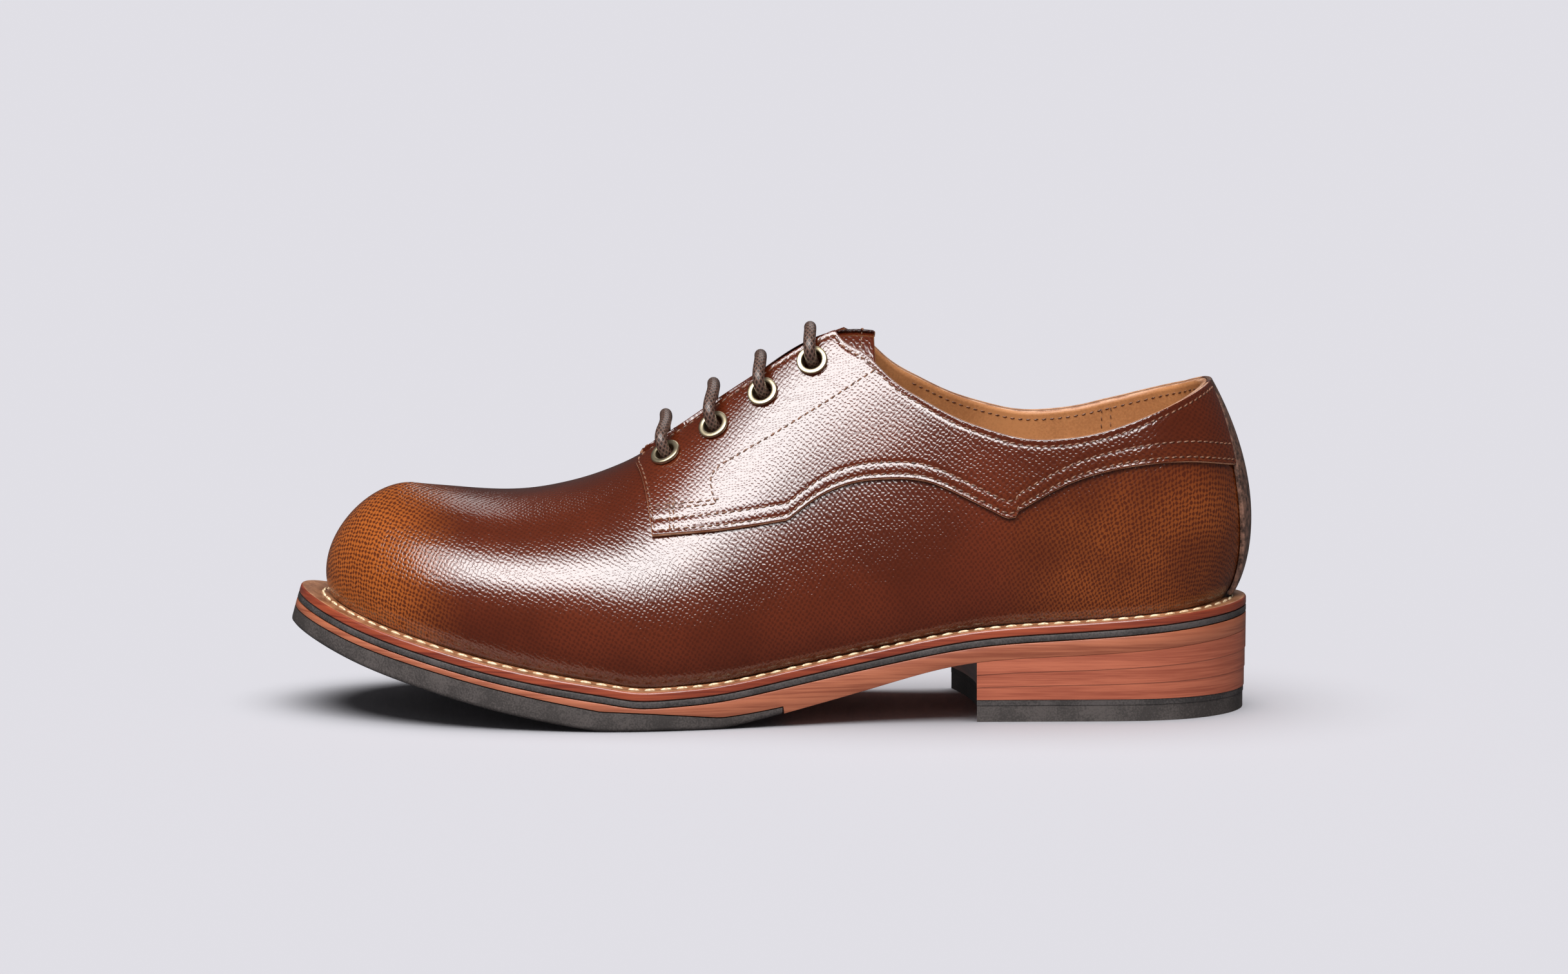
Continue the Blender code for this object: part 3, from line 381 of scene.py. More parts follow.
@dataclass
class Last:
    """The form of the shoe: sole edge, tread line and the outer skin of the upper."""

    length: float = 0.302
    toe_offset: float = 0.007
    welt_width: float = 0.0088
    toe_welt_share: float = 1.28
    heel_lift: float = 0.0229
    toe_spring: float = 0.0262
    toe_lean: float = 0.27
    waist_thinning: float = 0.0030
    welt_thick: float = 0.0028
    midsole_thick: float = 0.0022
    leather_thick: float = 0.0030
    rubber_thick: float = 0.0048
    toe_box_height: float = 0.0440
    toe_box_length: float = 0.0262
    instep_height: float = 0.100
    collar_height: float = 0.0575
    medial_collar_rise: float = 0.0030
    back_height: float = 0.0700
    heel_curve_depth: float = 0.0605
    side_bulge: float = 0.0055
    ridge_swing: float = 0.005
    quarter_rise: float = 0.0500
    throat_width: float = 0.0140
    throat_front: float = 0.1895
    throat_back: float = 0.109
    toe_lean_start: float = 0.62
    toe_spring_start: float = 0.72
    heel_lean_start: float = 0.45
    gap: float = 0.0003
    overlay_gap: float = 0.00045
    upper_thick: float = 0.0020
    quarter_thick: float = 0.0012
    strip_thick: float = 0.0014
    back_strip_width: float = 0.025
    facing_fade: float = 0.030
    facing_level: float = 0.6
    eyelet_level: float = 0.9
    widest_strip: float = 1.2
    medial_start: float = 0.15
    medial_reach: float = 0.35
    strip_join: float = 0.160
    strip_join_angle: float = 0.25
    eyelets_a_side: int = 4
    eyelet_first: float = 0.1825
    eyelet_pitch: float = 0.01515
    eyelet_insets: tuple[float, ...] = (0.0074, 0.0066, 0.0052, 0.0042)
    heel_end: float = field(init=False)
    stack: float = field(init=False)

    def __post_init__(self) -> None:
        """Makes the smooth curves from the tables."""
        self.heel_end = self.length / 2
        self.stack = self.welt_thick + self.midsole_thick + self.leather_thick + self.rubber_thick
        self.reach = Loop(
            round_rows(
                OUTLINE,
                lambda row: -row[1] * row[2],
                lambda row: row[1] * row[3],
                self.toe_offset,
            )
        )
        welt = round_rows(OUTLINE, lambda row: row[4], lambda row: row[4], self.toe_welt_share)
        self.welt_share = Loop(welt)
        self.bulge = Loop(round_rows(SECTIONS, lambda row: row[1], lambda row: row[2]))
        self.roundness = Spline([(row[0], row[3]) for row in SECTIONS])
        self.swing = Spline([(row[0], row[4]) for row in SECTIONS])
        self.bulge_height = Spline([(row[0], row[5]) for row in SECTIONS])
        self.tread = Spline(
            [(row[0], row[1] * self.heel_lift + row[2] * self.toe_spring) for row in TREAD]
        )
        self.thinning = Spline(THINNING)
        self.rubber = Spline(RUBBER)
        self.ridge = Spline(
            [(row[0], row[1] * self.toe_box_height + row[2] * self.instep_height) for row in RIDGE]
        )
        self.collar = Spline(
            [
                (
                    row[0],
                    row[1] * self.collar_height
                    + row[2] * self.instep_height
                    + row[3] * self.back_height,
                )
                for row in COLLAR
            ]
        )

    def share_of(self, x: Array | float) -> Array:
        """The share of the sole's length, from the heel, at which x lies."""
        return (self.heel_end - np.asarray(x, float)) / self.length

    def x_of(self, share: Array | float) -> Array:
        """Where a share of the sole's length lies."""
        return self.heel_end - np.asarray(share, float) * self.length

    def edge(self, angle: Array, inset: Array | float = 0.0) -> tuple[Array, Array]:
        """The sole's edge seen from above at an angle round it, moved inwards by the inset."""
        angle = np.asarray(angle, float)
        step = 1e-4
        x = self.heel_end * np.cos(angle)
        y = self.reach(angle)
        ahead = self.heel_end * (np.cos(angle + step) - np.cos(angle - step))
        across = self.reach(angle + step) - self.reach(angle - step)
        size = np.hypot(ahead, across)
        return x + across / size * inset, y - ahead / size * inset

    def welt_top(self, x: Array | float) -> Array:
        """Height of the welt's upper face."""
        return self.stack + self.tread(self.share_of(x))

    def tread_bottom(self, x: Array | float) -> Array:
        """Height of the underside in front of the heel, with its flat spot on the floor."""
        share = self.share_of(x)
        return np.maximum(self.tread(share) + self.waist_thinning * self.thinning(share), 0.0)

    def rubber_top(self, x: Array | float) -> Array:
        """Height of the rubber half sole's upper face."""
        return self.tread_bottom(x) + self.rubber_thick * self.rubber(self.share_of(x))

    def sole_point(self, x: Array, y: Array, z: Array) -> Array:
        """A point of the sole, with the lean of the toe about the middle of the stack."""
        depth = self.welt_top(x) - z
        start = self.toe_spring_start
        lean = self.toe_lean * smooth_step((self.share_of(x) - start) / (1 - start))
        leant = x - lean * (depth - self.stack / 2)
        return np.stack([leant, y, self.welt_top(leant) - depth], axis=-1)

    def ridge_x(self, angle: Array) -> Array:
        """How far along the shoe the section at an angle meets the ridge."""
        share = (1 - np.cos(angle)) / 2
        forward = np.clip((share - self.toe_lean_start) / (1 - self.toe_lean_start), 0, 1)
        backward = np.clip((self.heel_lean_start - share) / self.heel_lean_start, 0, 1)
        toe = self.toe_box_length + self.welt_width * self.toe_welt_share
        heel = self.heel_curve_depth + self.welt_width * OUTLINE[0][4]
        return self.heel_end - self.length * share + toe * forward**3 - heel * backward**3

    def ridge_y(self, x: Array | float) -> Array:
        """How far the ridge of the last swings to the side."""
        return self.ridge_swing * self.swing(self.share_of(x))

    def skin(self, angle: Array, rise: Array) -> Array:
        """The outer skin of the upper.

        Args:
            angle: turn round the shoe in radians, 0 at the heel and positive on the outer side.
            rise: 0 at the welt to 1 at the ridge.

        Returns:
            The points, with their coordinates in the last axis.
        """
        angle, rise = np.broadcast_arrays(np.asarray(angle, float), np.asarray(rise, float))
        foot_x, foot_y = self.edge(angle, self.welt_width * self.welt_share(angle))
        top_x = self.ridge_x(angle)
        share = self.share_of(top_x)
        top_y = self.ridge_swing * self.swing(share)
        power = 2 / self.roundness(self.share_of(foot_x))
        turn = np.clip(rise, 0, 1) * math.pi / 2
        inward = 1 - np.cos(turn) ** power
        upward = np.sin(turn) ** power
        out_x, out_y = foot_x - top_x, foot_y - top_y
        size = np.hypot(out_x, out_y)
        widest = self.bulge_height(self.share_of(foot_x))
        bulge = self.side_bulge * self.bulge(angle) * np.sin(math.pi * upward**widest)
        low = self.welt_top(foot_x) + self.gap
        high = self.welt_top(top_x) + self.ridge(share)
        x = foot_x - out_x * inward + out_x / size * bulge
        y = foot_y - out_y * inward + out_y / size * bulge
        return np.stack([x, y, low + (high - low) * upward], axis=-1)

    def normal(self, angle: Array, rise: Array) -> Array:
        """The outward unit normal of the skin."""
        step = 1e-4
        rise = np.clip(rise, 0.02, 1 - 2 * step)
        round_it = self.skin(angle + step, rise) - self.skin(angle - step, rise)
        up_it = self.skin(angle, rise + step) - self.skin(angle, rise - step)
        return unit(np.cross(up_it, round_it))

    def over(self, angle: Array, rise: Array, height: Array | float) -> Array:
        """A point at a height over the skin, or under it where the height is negative."""
        height = np.asarray(height, float)
        lift = height[..., None] if height.ndim else height
        return self.skin(angle, rise) + self.normal(angle, rise) * lift

    def rise_where(self, angle: Array, reached: Callable[[Array], Array]) -> Array:
        """The rise at which reached(points) first becomes true, at each angle."""
        angle = np.asarray(angle, float)
        return halve(
            np.zeros_like(angle), np.ones_like(angle), lambda rise: reached(self.skin(angle, rise))
        )

    def angle_at(self, side: Side, x: Array | float, rise: Array | float) -> Array:
        """The angle round the shoe at which the skin passes x, on one side, at a rise."""
        x, rise = np.broadcast_arrays(np.asarray(x, float), np.asarray(rise, float))
        sign = -side.value
        found = halve(
            np.full(x.shape, 0.001),
            np.full(x.shape, math.pi - 0.001),
            lambda turn: self.skin(sign * turn, rise)[..., 0] < x,
        )
        return sign * found

    def collar_rise(self, angle: Array) -> Array:
        """The rise of the collar line."""
        inner = np.mod(angle, 2 * math.pi) > math.pi
        along = np.clip((np.sin(angle) ** 2 - self.medial_start) / self.medial_reach, 0, 1)
        lift = self.medial_collar_rise * inner * along

        def reached(points: Array) -> Array:
            """Where points lie above the collar line."""
            line = self.welt_top(points[..., 0]) + self.collar(self.share_of(points[..., 0]))
            return points[..., 2] > line + lift

        return self.rise_where(angle, reached)

    def throat_rise(self, angle: Array) -> Array:
        """The rise of the facing's edge, half the throat's width from the ridge."""

        def reached(points: Array) -> Array:
            """Where points lie within the throat."""
            ahead = self.heel_end - points[..., 0]
            off = np.abs(points[..., 1] - self.ridge_y(points[..., 0]))
            return (off < self.throat_width / 2) & (ahead > self.throat_back)

        return self.rise_where(angle, reached)

    def top_rise(self, angle: Array) -> Array:
        """The rise of the facing's edge and of the collar, whichever comes first."""
        return np.minimum(self.throat_rise(angle), self.collar_rise(angle))

    def rise_over_welt(self, angle: Array, height: Array | float) -> Array:
        """The rise at which the skin stands a height over the welt."""

        def reached(points: Array) -> Array:
            """Where points lie above the height."""
            return points[..., 2] > self.welt_top(points[..., 0]) + self.gap + height

        return self.rise_where(angle, reached)

    def edge_rise(self, angle: Array, sweep: Rows) -> Array:
        """The rise of the quarter's lower edge along one of its sweeps."""
        edge = Spline(sweep)

        def reached(points: Array) -> Array:
            """Where points lie above the sweep."""
            share = self.share_of(points[..., 0])
            return points[..., 2] > self.welt_top(points[..., 0]) + self.quarter_rise * edge(share)

        return self.rise_where(angle, reached)

    def strip_angle(self, side: Side, rise: Array, share: Array, clear: float = 0.0) -> Array:
        """The angle of the back strip's edge on one side, at a share of its height."""
        wanted = self.back_strip_width * Spline(BACK_STRIP)(share) + clear
        sign = -side.value
        found = halve(
            np.zeros_like(wanted),
            np.full_like(wanted, self.widest_strip),
            lambda turn: np.abs(self.skin(sign * turn, rise)[..., 1]) > wanted,
        )
        return sign * found

    def quarter_angles(self, side: Side, sweep: Rows, columns: int, up: Array) -> Array:
        """Angles of a quarter's points under one sweep: rows from the edge up, columns heelwards."""
        share = np.linspace(sweep[0][0], sweep[-1][0], columns + 1)[None, :]
        front = self.x_of(FRONT_SWEEP[0][0])
        x = self.x_of(share)
        fade = 1 - smooth_step((x - front) / self.facing_fade)
        angle = self.angle_at(side, x - Spline(FACING_FRONT)(up) * fade, self.facing_level)
        near = np.array([-self.strip_join_angle * side.value])
        low, top = self.edge_rise(near, BACK_SWEEP), self.top_rise(near)
        rise = low + (top - low) * up
        end = self.strip_angle(side, rise, rise / top, self.gap)
        start = self.angle_at(side, self.x_of(np.array([self.strip_join])), self.facing_level)
        reach = self.strip_join - BACK_SWEEP[-1][0]
        along = np.clip((self.strip_join - share) / reach, 0, 1)
        return np.where(along > 0, start + (end - start) * along, angle)

    def eyelet_seat(self, side: Side, number: int) -> tuple[Vector, Vector]:
        """Centre on the quarter's outer face and outward direction of an eyelet."""
        x = self.heel_end - self.eyelet_first + self.eyelet_pitch * number
        ridge = float(self.ridge_y(x))
        away = self.throat_width / 2 + self.eyelet_insets[number]
        angle = self.angle_at(side, np.array([x]), self.eyelet_level)
        rise = self.rise_where(angle, lambda points: np.abs(points[..., 1] - ridge) < away)
        height = self.overlay_gap + self.quarter_thick
        return Vector(self.over(angle, rise, height)[0]), Vector(self.normal(angle, rise)[0])


class Chart:
    """Flat places on the skin, in metres, along which the grain of the leather runs."""

    ANGLES = 420
    RISES = 90
    LEAD = 0.6
    LEVEL = 0.45

    def __init__(self, last: Last) -> None:
        """Measures the skin along its columns and once round its middle."""
        self.turns = np.linspace(-self.LEAD, 2 * math.pi + self.LEAD, self.ANGLES)
        self.rises = np.linspace(0, 1, self.RISES)
        grid = last.skin(self.turns[:, None], self.rises[None, :])
        up = np.linalg.norm(np.diff(grid, axis=1), axis=-1)
        self.up = np.concatenate([np.zeros((self.ANGLES, 1)), np.cumsum(up, axis=1)], axis=1)
        self.along = lengths_of(last.skin(self.turns, self.LEVEL))

    def places(self, angle: Array, rise: Array) -> Array:
        """The (along, up) places of points of the skin."""
        angle, rise = np.broadcast_arrays(np.asarray(angle, float), np.asarray(rise, float))
        column = np.interp(angle, self.turns, np.arange(self.ANGLES))
        row = np.interp(rise, self.rises, np.arange(self.RISES))
        k = np.clip(column.astype(int), 0, self.ANGLES - 2)
        i = np.clip(row.astype(int), 0, self.RISES - 2)
        a, b = column - k, row - i
        low = self.up[k, i] * (1 - a) + self.up[k + 1, i] * a
        high = self.up[k, i + 1] * (1 - a) + self.up[k + 1, i + 1] * a
        return np.stack([np.interp(angle, self.turns, self.along), low * (1 - b) + high * b], axis=-1)


def fill_uv(mesh: Mesh, places: Array) -> None:
    """Gives a mesh the flat places of its points, for its grain.

    Args:
        mesh: the mesh, with one point for each place.
        places: a pair in metres for each point.
    """
    layer = mesh.uv_layers.new(name="grain")
    corners = np.zeros(len(mesh.loops), np.int32)
    mesh.loops.foreach_get("vertex_index", corners)
    layer.data.foreach_set("uv", places.reshape(-1, 2)[corners].astype(np.float32).ravel())


def grid_faces(rows: int, columns: int, closed: bool = False, first: int = 0) -> list[tuple]:
    """The four-cornered faces between the points of a grid.

    Args:
        rows: rows of points.
        columns: points in a row.
        closed: whether each row runs round to its start.
        first: the number of the grid's first point.

    Returns:
        The faces, as point numbers.
    """
    faces = []
    for i in range(rows - 1):
        for k in range(columns if closed else columns - 1):
            n = (k + 1) % columns
            a, b = first + i * columns, first + (i + 1) * columns
            faces.append((a + k, a + n, b + n, b + k))
    return faces


def new_mesh(name: str, points: Array, faces: list[tuple], places: Array | None = None) -> Mesh:
    """A mesh from points and faces, with the flat places of its points where it has any."""
    mesh = bpy.data.meshes.new(name)
    mesh.from_pydata(np.asarray(points, float).reshape(-1, 3).tolist(), [], faces)
    if places is not None:
        fill_uv(mesh, places)
    return mesh


def clean(mesh: Mesh, outward: bool = True) -> None:
    """Joins points that coincide and turns the faces outwards."""
    work = bmesh.new()
    work.from_mesh(mesh)
    bmesh.ops.remove_doubles(work, verts=work.verts, dist=JOIN_REACH)
    bmesh.ops.dissolve_degenerate(work, edges=work.edges, dist=1e-8)
    if outward:
        bmesh.ops.recalc_face_normals(work, faces=work.faces)
    work.to_mesh(mesh)
    work.free()


class Piece:
    """One piece of the shoe: its object, what it stands for and how it is shaded."""

    @staticmethod
    def add(
        name: str,
        mesh: Mesh,
        finishes: Sequence[Material],
        nodes: Sequence[str] = (),
        slot: Slot | None = None,
        sharp: float = 40.0,
    ) -> Object:
        """Puts a mesh on the shoe.

        Args:
            name: the piece's name.
            mesh: its mesh, already in the shoe's frame.
            finishes: its materials, in the order of its faces' numbers.
            nodes: the solids that it stands for.
            slot: the slot for its main finish; not used.
            sharp: the angle in degrees past which an edge stays sharp.

        Returns:
            The new object.
        """
        obj = bpy.data.objects.new(name, mesh)
        bpy.context.scene.collection.objects.link(obj)
        for finish in finishes:
            mesh.materials.append(finish)
        mesh.shade_smooth()
        mesh.set_sharp_from_angle(angle=math.radians(sharp))
        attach(obj, BODY)
        if nodes:
            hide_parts(*nodes)
        LOG.info("%s: %d faces", name, len(mesh.polygons))
        return obj


def settle(obj: Object) -> None:
    """Turns an object's modifiers into plain mesh."""
    graph = bpy.context.evaluated_depsgraph_get()
    seen = obj.evaluated_get(graph)
    made = bpy.data.meshes.new_from_object(seen, preserve_all_data_layers=True, depsgraph=graph)
    made.name = obj.data.name
    old = obj.data
    obj.modifiers.clear()
    obj.data = made
    bpy.data.meshes.remove(old)


@dataclass(frozen=True)
class Edging:
    """The rounded edge of a cut leather piece."""

    radius: float = 0.0005
    steps: int = 4

    def profile(self, thick: float) -> list[tuple[float, float]]:
        """(distance in from the edge, height) pairs from the base of the edge to the face."""
        radius = min(self.radius, thick * 0.5)
        rows = [(0.0, 0.0), (0.0, thick * 0.45)]
        for k in range(self.steps + 1):
            turn = math.pi / 2 * k / self.steps
            rows.append((radius * (1 - math.cos(turn)), thick - radius + radius * math.sin(turn)))
        return rows


def panel(
    name: str,
    base: Array,
    normals: Array,
    places: Array,
    thick: float,
    edging: Edging,
    relief: Array | float = 0.0,
) -> Mesh:
    """A closed leather panel with rounded edges, standing on a grid of base points.

    Args:
        name: the mesh's name.
        base: the base points, rows by columns by 3.
        normals: the outward normals there.
        places: the flat places there.
        thick: the leather's thickness.
        edging: how its edge is rounded.
        relief: extra height of the face at each base point.

    Returns:
        The mesh. Faces of the edge have material number 1, and those of the back 2.
    """
    profile = edging.profile(thick)
    m = len(profile)
    relief = np.broadcast_to(np.asarray(relief, float), base.shape[:2])

    def spread(count: int) -> tuple[Array, Array, Array, Array]:
        """Grid line, distance in from the start and from the end, and height of each line."""
        line = np.concatenate([np.zeros(m, int), np.arange(1, count - 1), np.full(m, count - 1)])
        inner = len(line) - 2 * m
        start = np.array([d for d, _ in profile] + [0.0] * (inner + m))
        end = np.array([0.0] * (m + inner) + [d for d, _ in reversed(profile)])
        height = np.array([h for _, h in profile] + [thick] * inner + [h for _, h in reversed(profile)])
        return line, start, end, height

    rows, row_start, row_end, row_height = spread(base.shape[0])
    columns, column_start, column_end, column_height = spread(base.shape[1])
    up_first = unit(base[1] - base[0])[columns]
    up_last = unit(base[-2] - base[-1])[columns]
    in_first = unit(base[:, 1] - base[:, 0])[rows]
    in_last = unit(base[:, -2] - base[:, -1])[rows]
    points = base[rows][:, columns].copy()
    points += up_first[None, :, :] * row_start[:, None, None]
    points += up_last[None, :, :] * row_end[:, None, None]
    points += in_first[:, None, :] * column_start[None, :, None]
    points += in_last[:, None, :] * column_end[None, :, None]
    height = np.minimum(row_height[:, None], column_height[None, :])
    full = height >= thick - 1e-9
    height = height + np.where(full, relief[rows][:, columns], 0.0)
    points += normals[rows][:, columns] * height[..., None]
    flat = places[rows][:, columns]
    count_r, count_c = points.shape[:2]
    faces = grid_faces(count_r, count_c)
    back = grid_faces(base.shape[0], base.shape[1], first=count_r * count_c)
    faces += [face[::-1] for face in back]
    everything = np.concatenate([points.reshape(-1, 3), base.reshape(-1, 3)])
    mesh = new_mesh(name, everything, faces, np.concatenate([flat.reshape(-1, 2), places.reshape(-1, 2)]))
    kinds = np.zeros(len(faces), np.int32)
    row_rim = np.zeros(count_r - 1, bool)
    column_rim = np.zeros(count_c - 1, bool)
    rim = m - 3
    row_rim[:rim] = row_rim[-rim:] = True
    column_rim[:rim] = column_rim[-rim:] = True
    kinds[: (count_r - 1) * (count_c - 1)] = (row_rim[:, None] | column_rim[None, :]).ravel()
    kinds[(count_r - 1) * (count_c - 1) :] = 2
    mesh.polygons.foreach_set("material_index", kinds)
    clean(mesh)
    return mesh


@dataclass(frozen=True)
class Thread:
    """A row of stitches: the thread's thickness, the stitch's length and pitch."""

    radius: float = 0.00028
    length: float = 0.0019
    pitch: float = 0.0025
    slant: float = 0.16
    sides: int = 7
    rings: int = 7
    sink: float = 0.35

    def shape(self) -> tuple[Array, list[tuple]]:
        """One stitch along X on a face at z = 0: its points and faces."""
        points = []
        for ring in range(self.rings + 1):
            along = -math.cos(math.pi * ring / self.rings)
            round_off = math.sqrt(max(0.0, 1 - abs(along) ** 3)) * 0.95 + 0.05
            drop = self.radius * 0.9 * abs(along) ** 3
            for k in range(self.sides):
                turn = 2 * math.pi * k / self.sides
                points.append(
                    (
                        along * self.length / 2,
                        self.radius * round_off * math.cos(turn),
                        self.radius * (self.sink + round_off * math.sin(turn)) - drop,
                    )
                )
        faces = grid_faces(self.rings + 1, self.sides, closed=True)
        faces.append(tuple(range(self.sides))[::-1])
        faces.append(tuple(self.rings * self.sides + k for k in range(self.sides)))
        return np.array(points), faces

    def lay(self, runs: Sequence[tuple[Array, Array]], name: str) -> Mesh:
        """Stitches along runs.

        Args:
            runs: for each run its points and the outward normals there.
            name: the mesh's name.

        Returns:
            One mesh with all the stitches.
        """
        shape, one = self.shape()
        points, faces = [], []
        for line, normals in runs:
            lengths = lengths_of(line)
            count = max(1, int(round(lengths[-1] / self.pitch)))
            at = (np.arange(count) + 0.5) / count * lengths[-1]
            step = self.length * 0.45

            def on(values: Array, where: Array) -> Array:
                """The run's values at lengths along it."""
                return np.stack([np.interp(where, lengths, values[:, i]) for i in range(3)], axis=1)

            middle, normal = on(line, at), unit(on(normals, at))
            along = unit(on(line, at + step) - on(line, at - step))
            across = unit(np.cross(normal, along))
            turned = unit(along + across * self.slant)
            across = np.cross(normal, turned)
            frames = np.stack([turned, across, normal], axis=1)
            placed = middle[:, None, :] + np.einsum("pk,nkj->npj", shape, frames)
            for stitch in placed:
                first = len(points) * len(shape)
                points.append(stitch)
                faces += [tuple(first + i for i in face) for face in one]
        return new_mesh(name, np.concatenate(points), faces)


class Nodes:
    """A short way to write a material's nodes."""

    def __init__(self, name: str) -> None:
        """Starts a material with one Principled shader."""
        self.material = bpy.data.materials.new(name)
        self.material.use_nodes = True
        self.tree = self.material.node_tree
        self.shader = self.tree.nodes["Principled BSDF"]

    def make(self, kind: str, **settings: object) -> bpy.types.Node:
        """A new node with its own settings."""
        node = self.tree.nodes.new(kind)
        for key, value in settings.items():
            setattr(node, key, value)
        return node

    def feed(self, socket: Socket, value: object) -> None:
        """Links a socket or sets a value on another socket."""
        if isinstance(value, Socket):
            self.tree.links.new(value, socket)
        else:
            socket.default_value = value

    def math(self, operation: str, a: object, b: object = 0.0) -> Socket:
        """The result of a Math node."""
        node = self.make("ShaderNodeMath", operation=operation)
        self.feed(node.inputs[0], a)
        self.feed(node.inputs[1], b)
        return node.outputs[0]

    def blend(self, share: object, a: object, b: object) -> Socket:
        """A colour between two colours."""
        node = self.make("ShaderNodeMix", data_type="RGBA")
        self.feed(node.inputs[0], share)
        self.feed(node.inputs[6], a)
        self.feed(node.inputs[7], b)
        return node.outputs[2]

    def span(self, value: object, low: float, high: float, to_low: float = 0, to_high: float = 1) -> Socket:
        """A value moved smoothly from one range to another, and held there."""
        node = self.make("ShaderNodeMapRange", interpolation_type="SMOOTHSTEP")
        self.feed(node.inputs[0], value)
        for socket, number in zip(node.inputs[1:5], (low, high, to_low, to_high)):
            socket.default_value = number
        return node.outputs[0]

    def place(self) -> Socket:
        """The place on the object, in metres."""
        return self.make("ShaderNodeTexCoord").outputs["Object"]

    def flat(self) -> Socket:
        """The flat place on the leather, in metres."""
        return self.make("ShaderNodeUVMap", uv_map="grain").outputs["UV"]

    def split(self, vector: Socket) -> Sequence[Socket]:
        """The three parts of a vector."""
        node = self.make("ShaderNodeSeparateXYZ")
        self.feed(node.inputs[0], vector)
        return node.outputs

    def noise(self, vector: Socket, scale: float, detail: float = 3.0, up: float = 1.0) -> Socket:
        """A soft noise of a vector, with its third part stretched by a factor."""
        mapped = self.make("ShaderNodeMapping")
        self.feed(mapped.inputs["Vector"], vector)
        mapped.inputs["Scale"].default_value = (1.0, 1.0, up)
        node = self.make("ShaderNodeTexNoise")
        self.feed(node.inputs["Vector"], mapped.outputs[0])
        node.inputs["Scale"].default_value = scale
        node.inputs["Detail"].default_value = detail
        return node.outputs[0]

    def bump(self, height: object, distance: float) -> Socket:
        """A bumped normal from a height between 0 and 1."""
        node = self.make("ShaderNodeBump")
        node.inputs["Strength"].default_value = 1.0
        node.inputs["Distance"].default_value = distance
        self.feed(node.inputs["Height"], height)
        return node.outputs[0]

    def finish(self, **inputs: object) -> Material:
        """Sets the shader's sockets, named with _ for a space, and gives the material."""
        for name, value in inputs.items():
            self.feed(self.shader.inputs[name.replace("_", " ")], value)
        return self.material


@dataclass(frozen=True)
class GrainLeather:
    """Glossy calf with an embossed hatch grain, with lighter tan burnishing at toe and heel, and painted
    shade along the welt.
    """

    name: str
    deep: Colour = (0.050, 0.0078, 0.0024, 1.0)
    middle: Colour = (0.103, 0.0170, 0.0050, 1.0)
    tan: Colour = (0.36, 0.092, 0.014, 1.0)
    # Painted shade along the welt: its near-black colour, and the height up the leather over which it fades
    # out
    welt_shade_colour: Colour = (0.014, 0.0035, 0.0015, 1.0)
    welt_shade_reach: float = 0.017
    pitch_along: float = 0.0020
    pitch_up: float = 0.0018
    wander: float = 0.0010
    depth: float = 0.00005
    coat: float = 1.0

    def grain(self, nodes: Nodes) -> Socket:
        """Height of the hatch grain: staggered pebbles that wander a little."""
        flat = nodes.flat()
        wavy = nodes.make("ShaderNodeTexNoise")
        nodes.feed(wavy.inputs["Vector"], flat)
        wavy.inputs["Scale"].default_value = 420.0
        wavy.inputs["Detail"].default_value = 1.5
        along, up, _ = nodes.split(flat)
        shift, lift, _ = nodes.split(wavy.outputs["Color"])
        waves = []
        for part, noise, pitch in ((along, shift, self.pitch_along), (up, lift, self.pitch_up)):
            drift = nodes.math("MULTIPLY", nodes.math("SUBTRACT", noise, 0.5), 2 * self.wander)
            moved = nodes.math("ADD", part, drift)
            waves.append(nodes.math("COSINE", nodes.math("MULTIPLY", moved, 2 * math.pi / pitch)))
        product = nodes.math("MULTIPLY", waves[0], waves[1])
        return nodes.span(product, -0.9, 0.55)

    def material(self) -> Material:
        """The leather as a material."""
        nodes = Nodes(self.name)
        grain = self.grain(nodes)
        place = nodes.place()
        x, _, z = nodes.split(place)
        cloud = nodes.noise(place, 26.0, 3.0)
        fine = nodes.noise(place, 900.0, 2.0)
        toe = nodes.span(x, -0.092, -0.128)
        toe = nodes.math("MULTIPLY", toe, nodes.span(cloud, 0.25, 0.6, 0.75, 1.0))
        heel = nodes.math("MULTIPLY", nodes.span(x, 0.065, 0.112), nodes.span(z, 0.092, 0.055))
        heel = nodes.math("MULTIPLY", heel, nodes.span(cloud, 0.3, 0.65, 0.2, 0.6))
        burnt = nodes.math("MAXIMUM", toe, heel)
        base = nodes.blend(nodes.span(cloud, 0.35, 0.7, 0.3, 1.0), self.deep, self.middle)
        tops = nodes.span(grain, 0.1, 0.9, 0.35, 1.0)
        base = nodes.blend(tops, self.deep, base)
        tan = nodes.blend(nodes.span(grain, 0.2, 1.0, 0.12, 1.0), self.deep, self.tan)
        colour = nodes.blend(burnt, base, tan)
        # Painted shade: the foot of the upper is darkened next to the welt, where the crevice over the welt
        # lies in shade
        _, up, _ = nodes.split(nodes.flat())
        colour = nodes.blend(nodes.span(up, 0.002, self.welt_shade_reach, 0.9, 0.0), colour, self.welt_shade_colour)
        height = nodes.math("ADD", nodes.math("MULTIPLY", grain, 0.93), nodes.math("MULTIPLY", fine, 0.07))
        bumped = nodes.bump(height, self.depth)
        rough = nodes.span(cloud, 0.3, 0.7, 0.34, 0.42)
        return nodes.finish(
            Base_Color=colour,
            Roughness=rough,
            Normal=bumped,
            Coat_Normal=bumped,
            Coat_Weight=self.coat,
            Coat_Roughness=0.13,
            Coat_IOR=1.72,
            Specular_IOR_Level=0.04,
        )


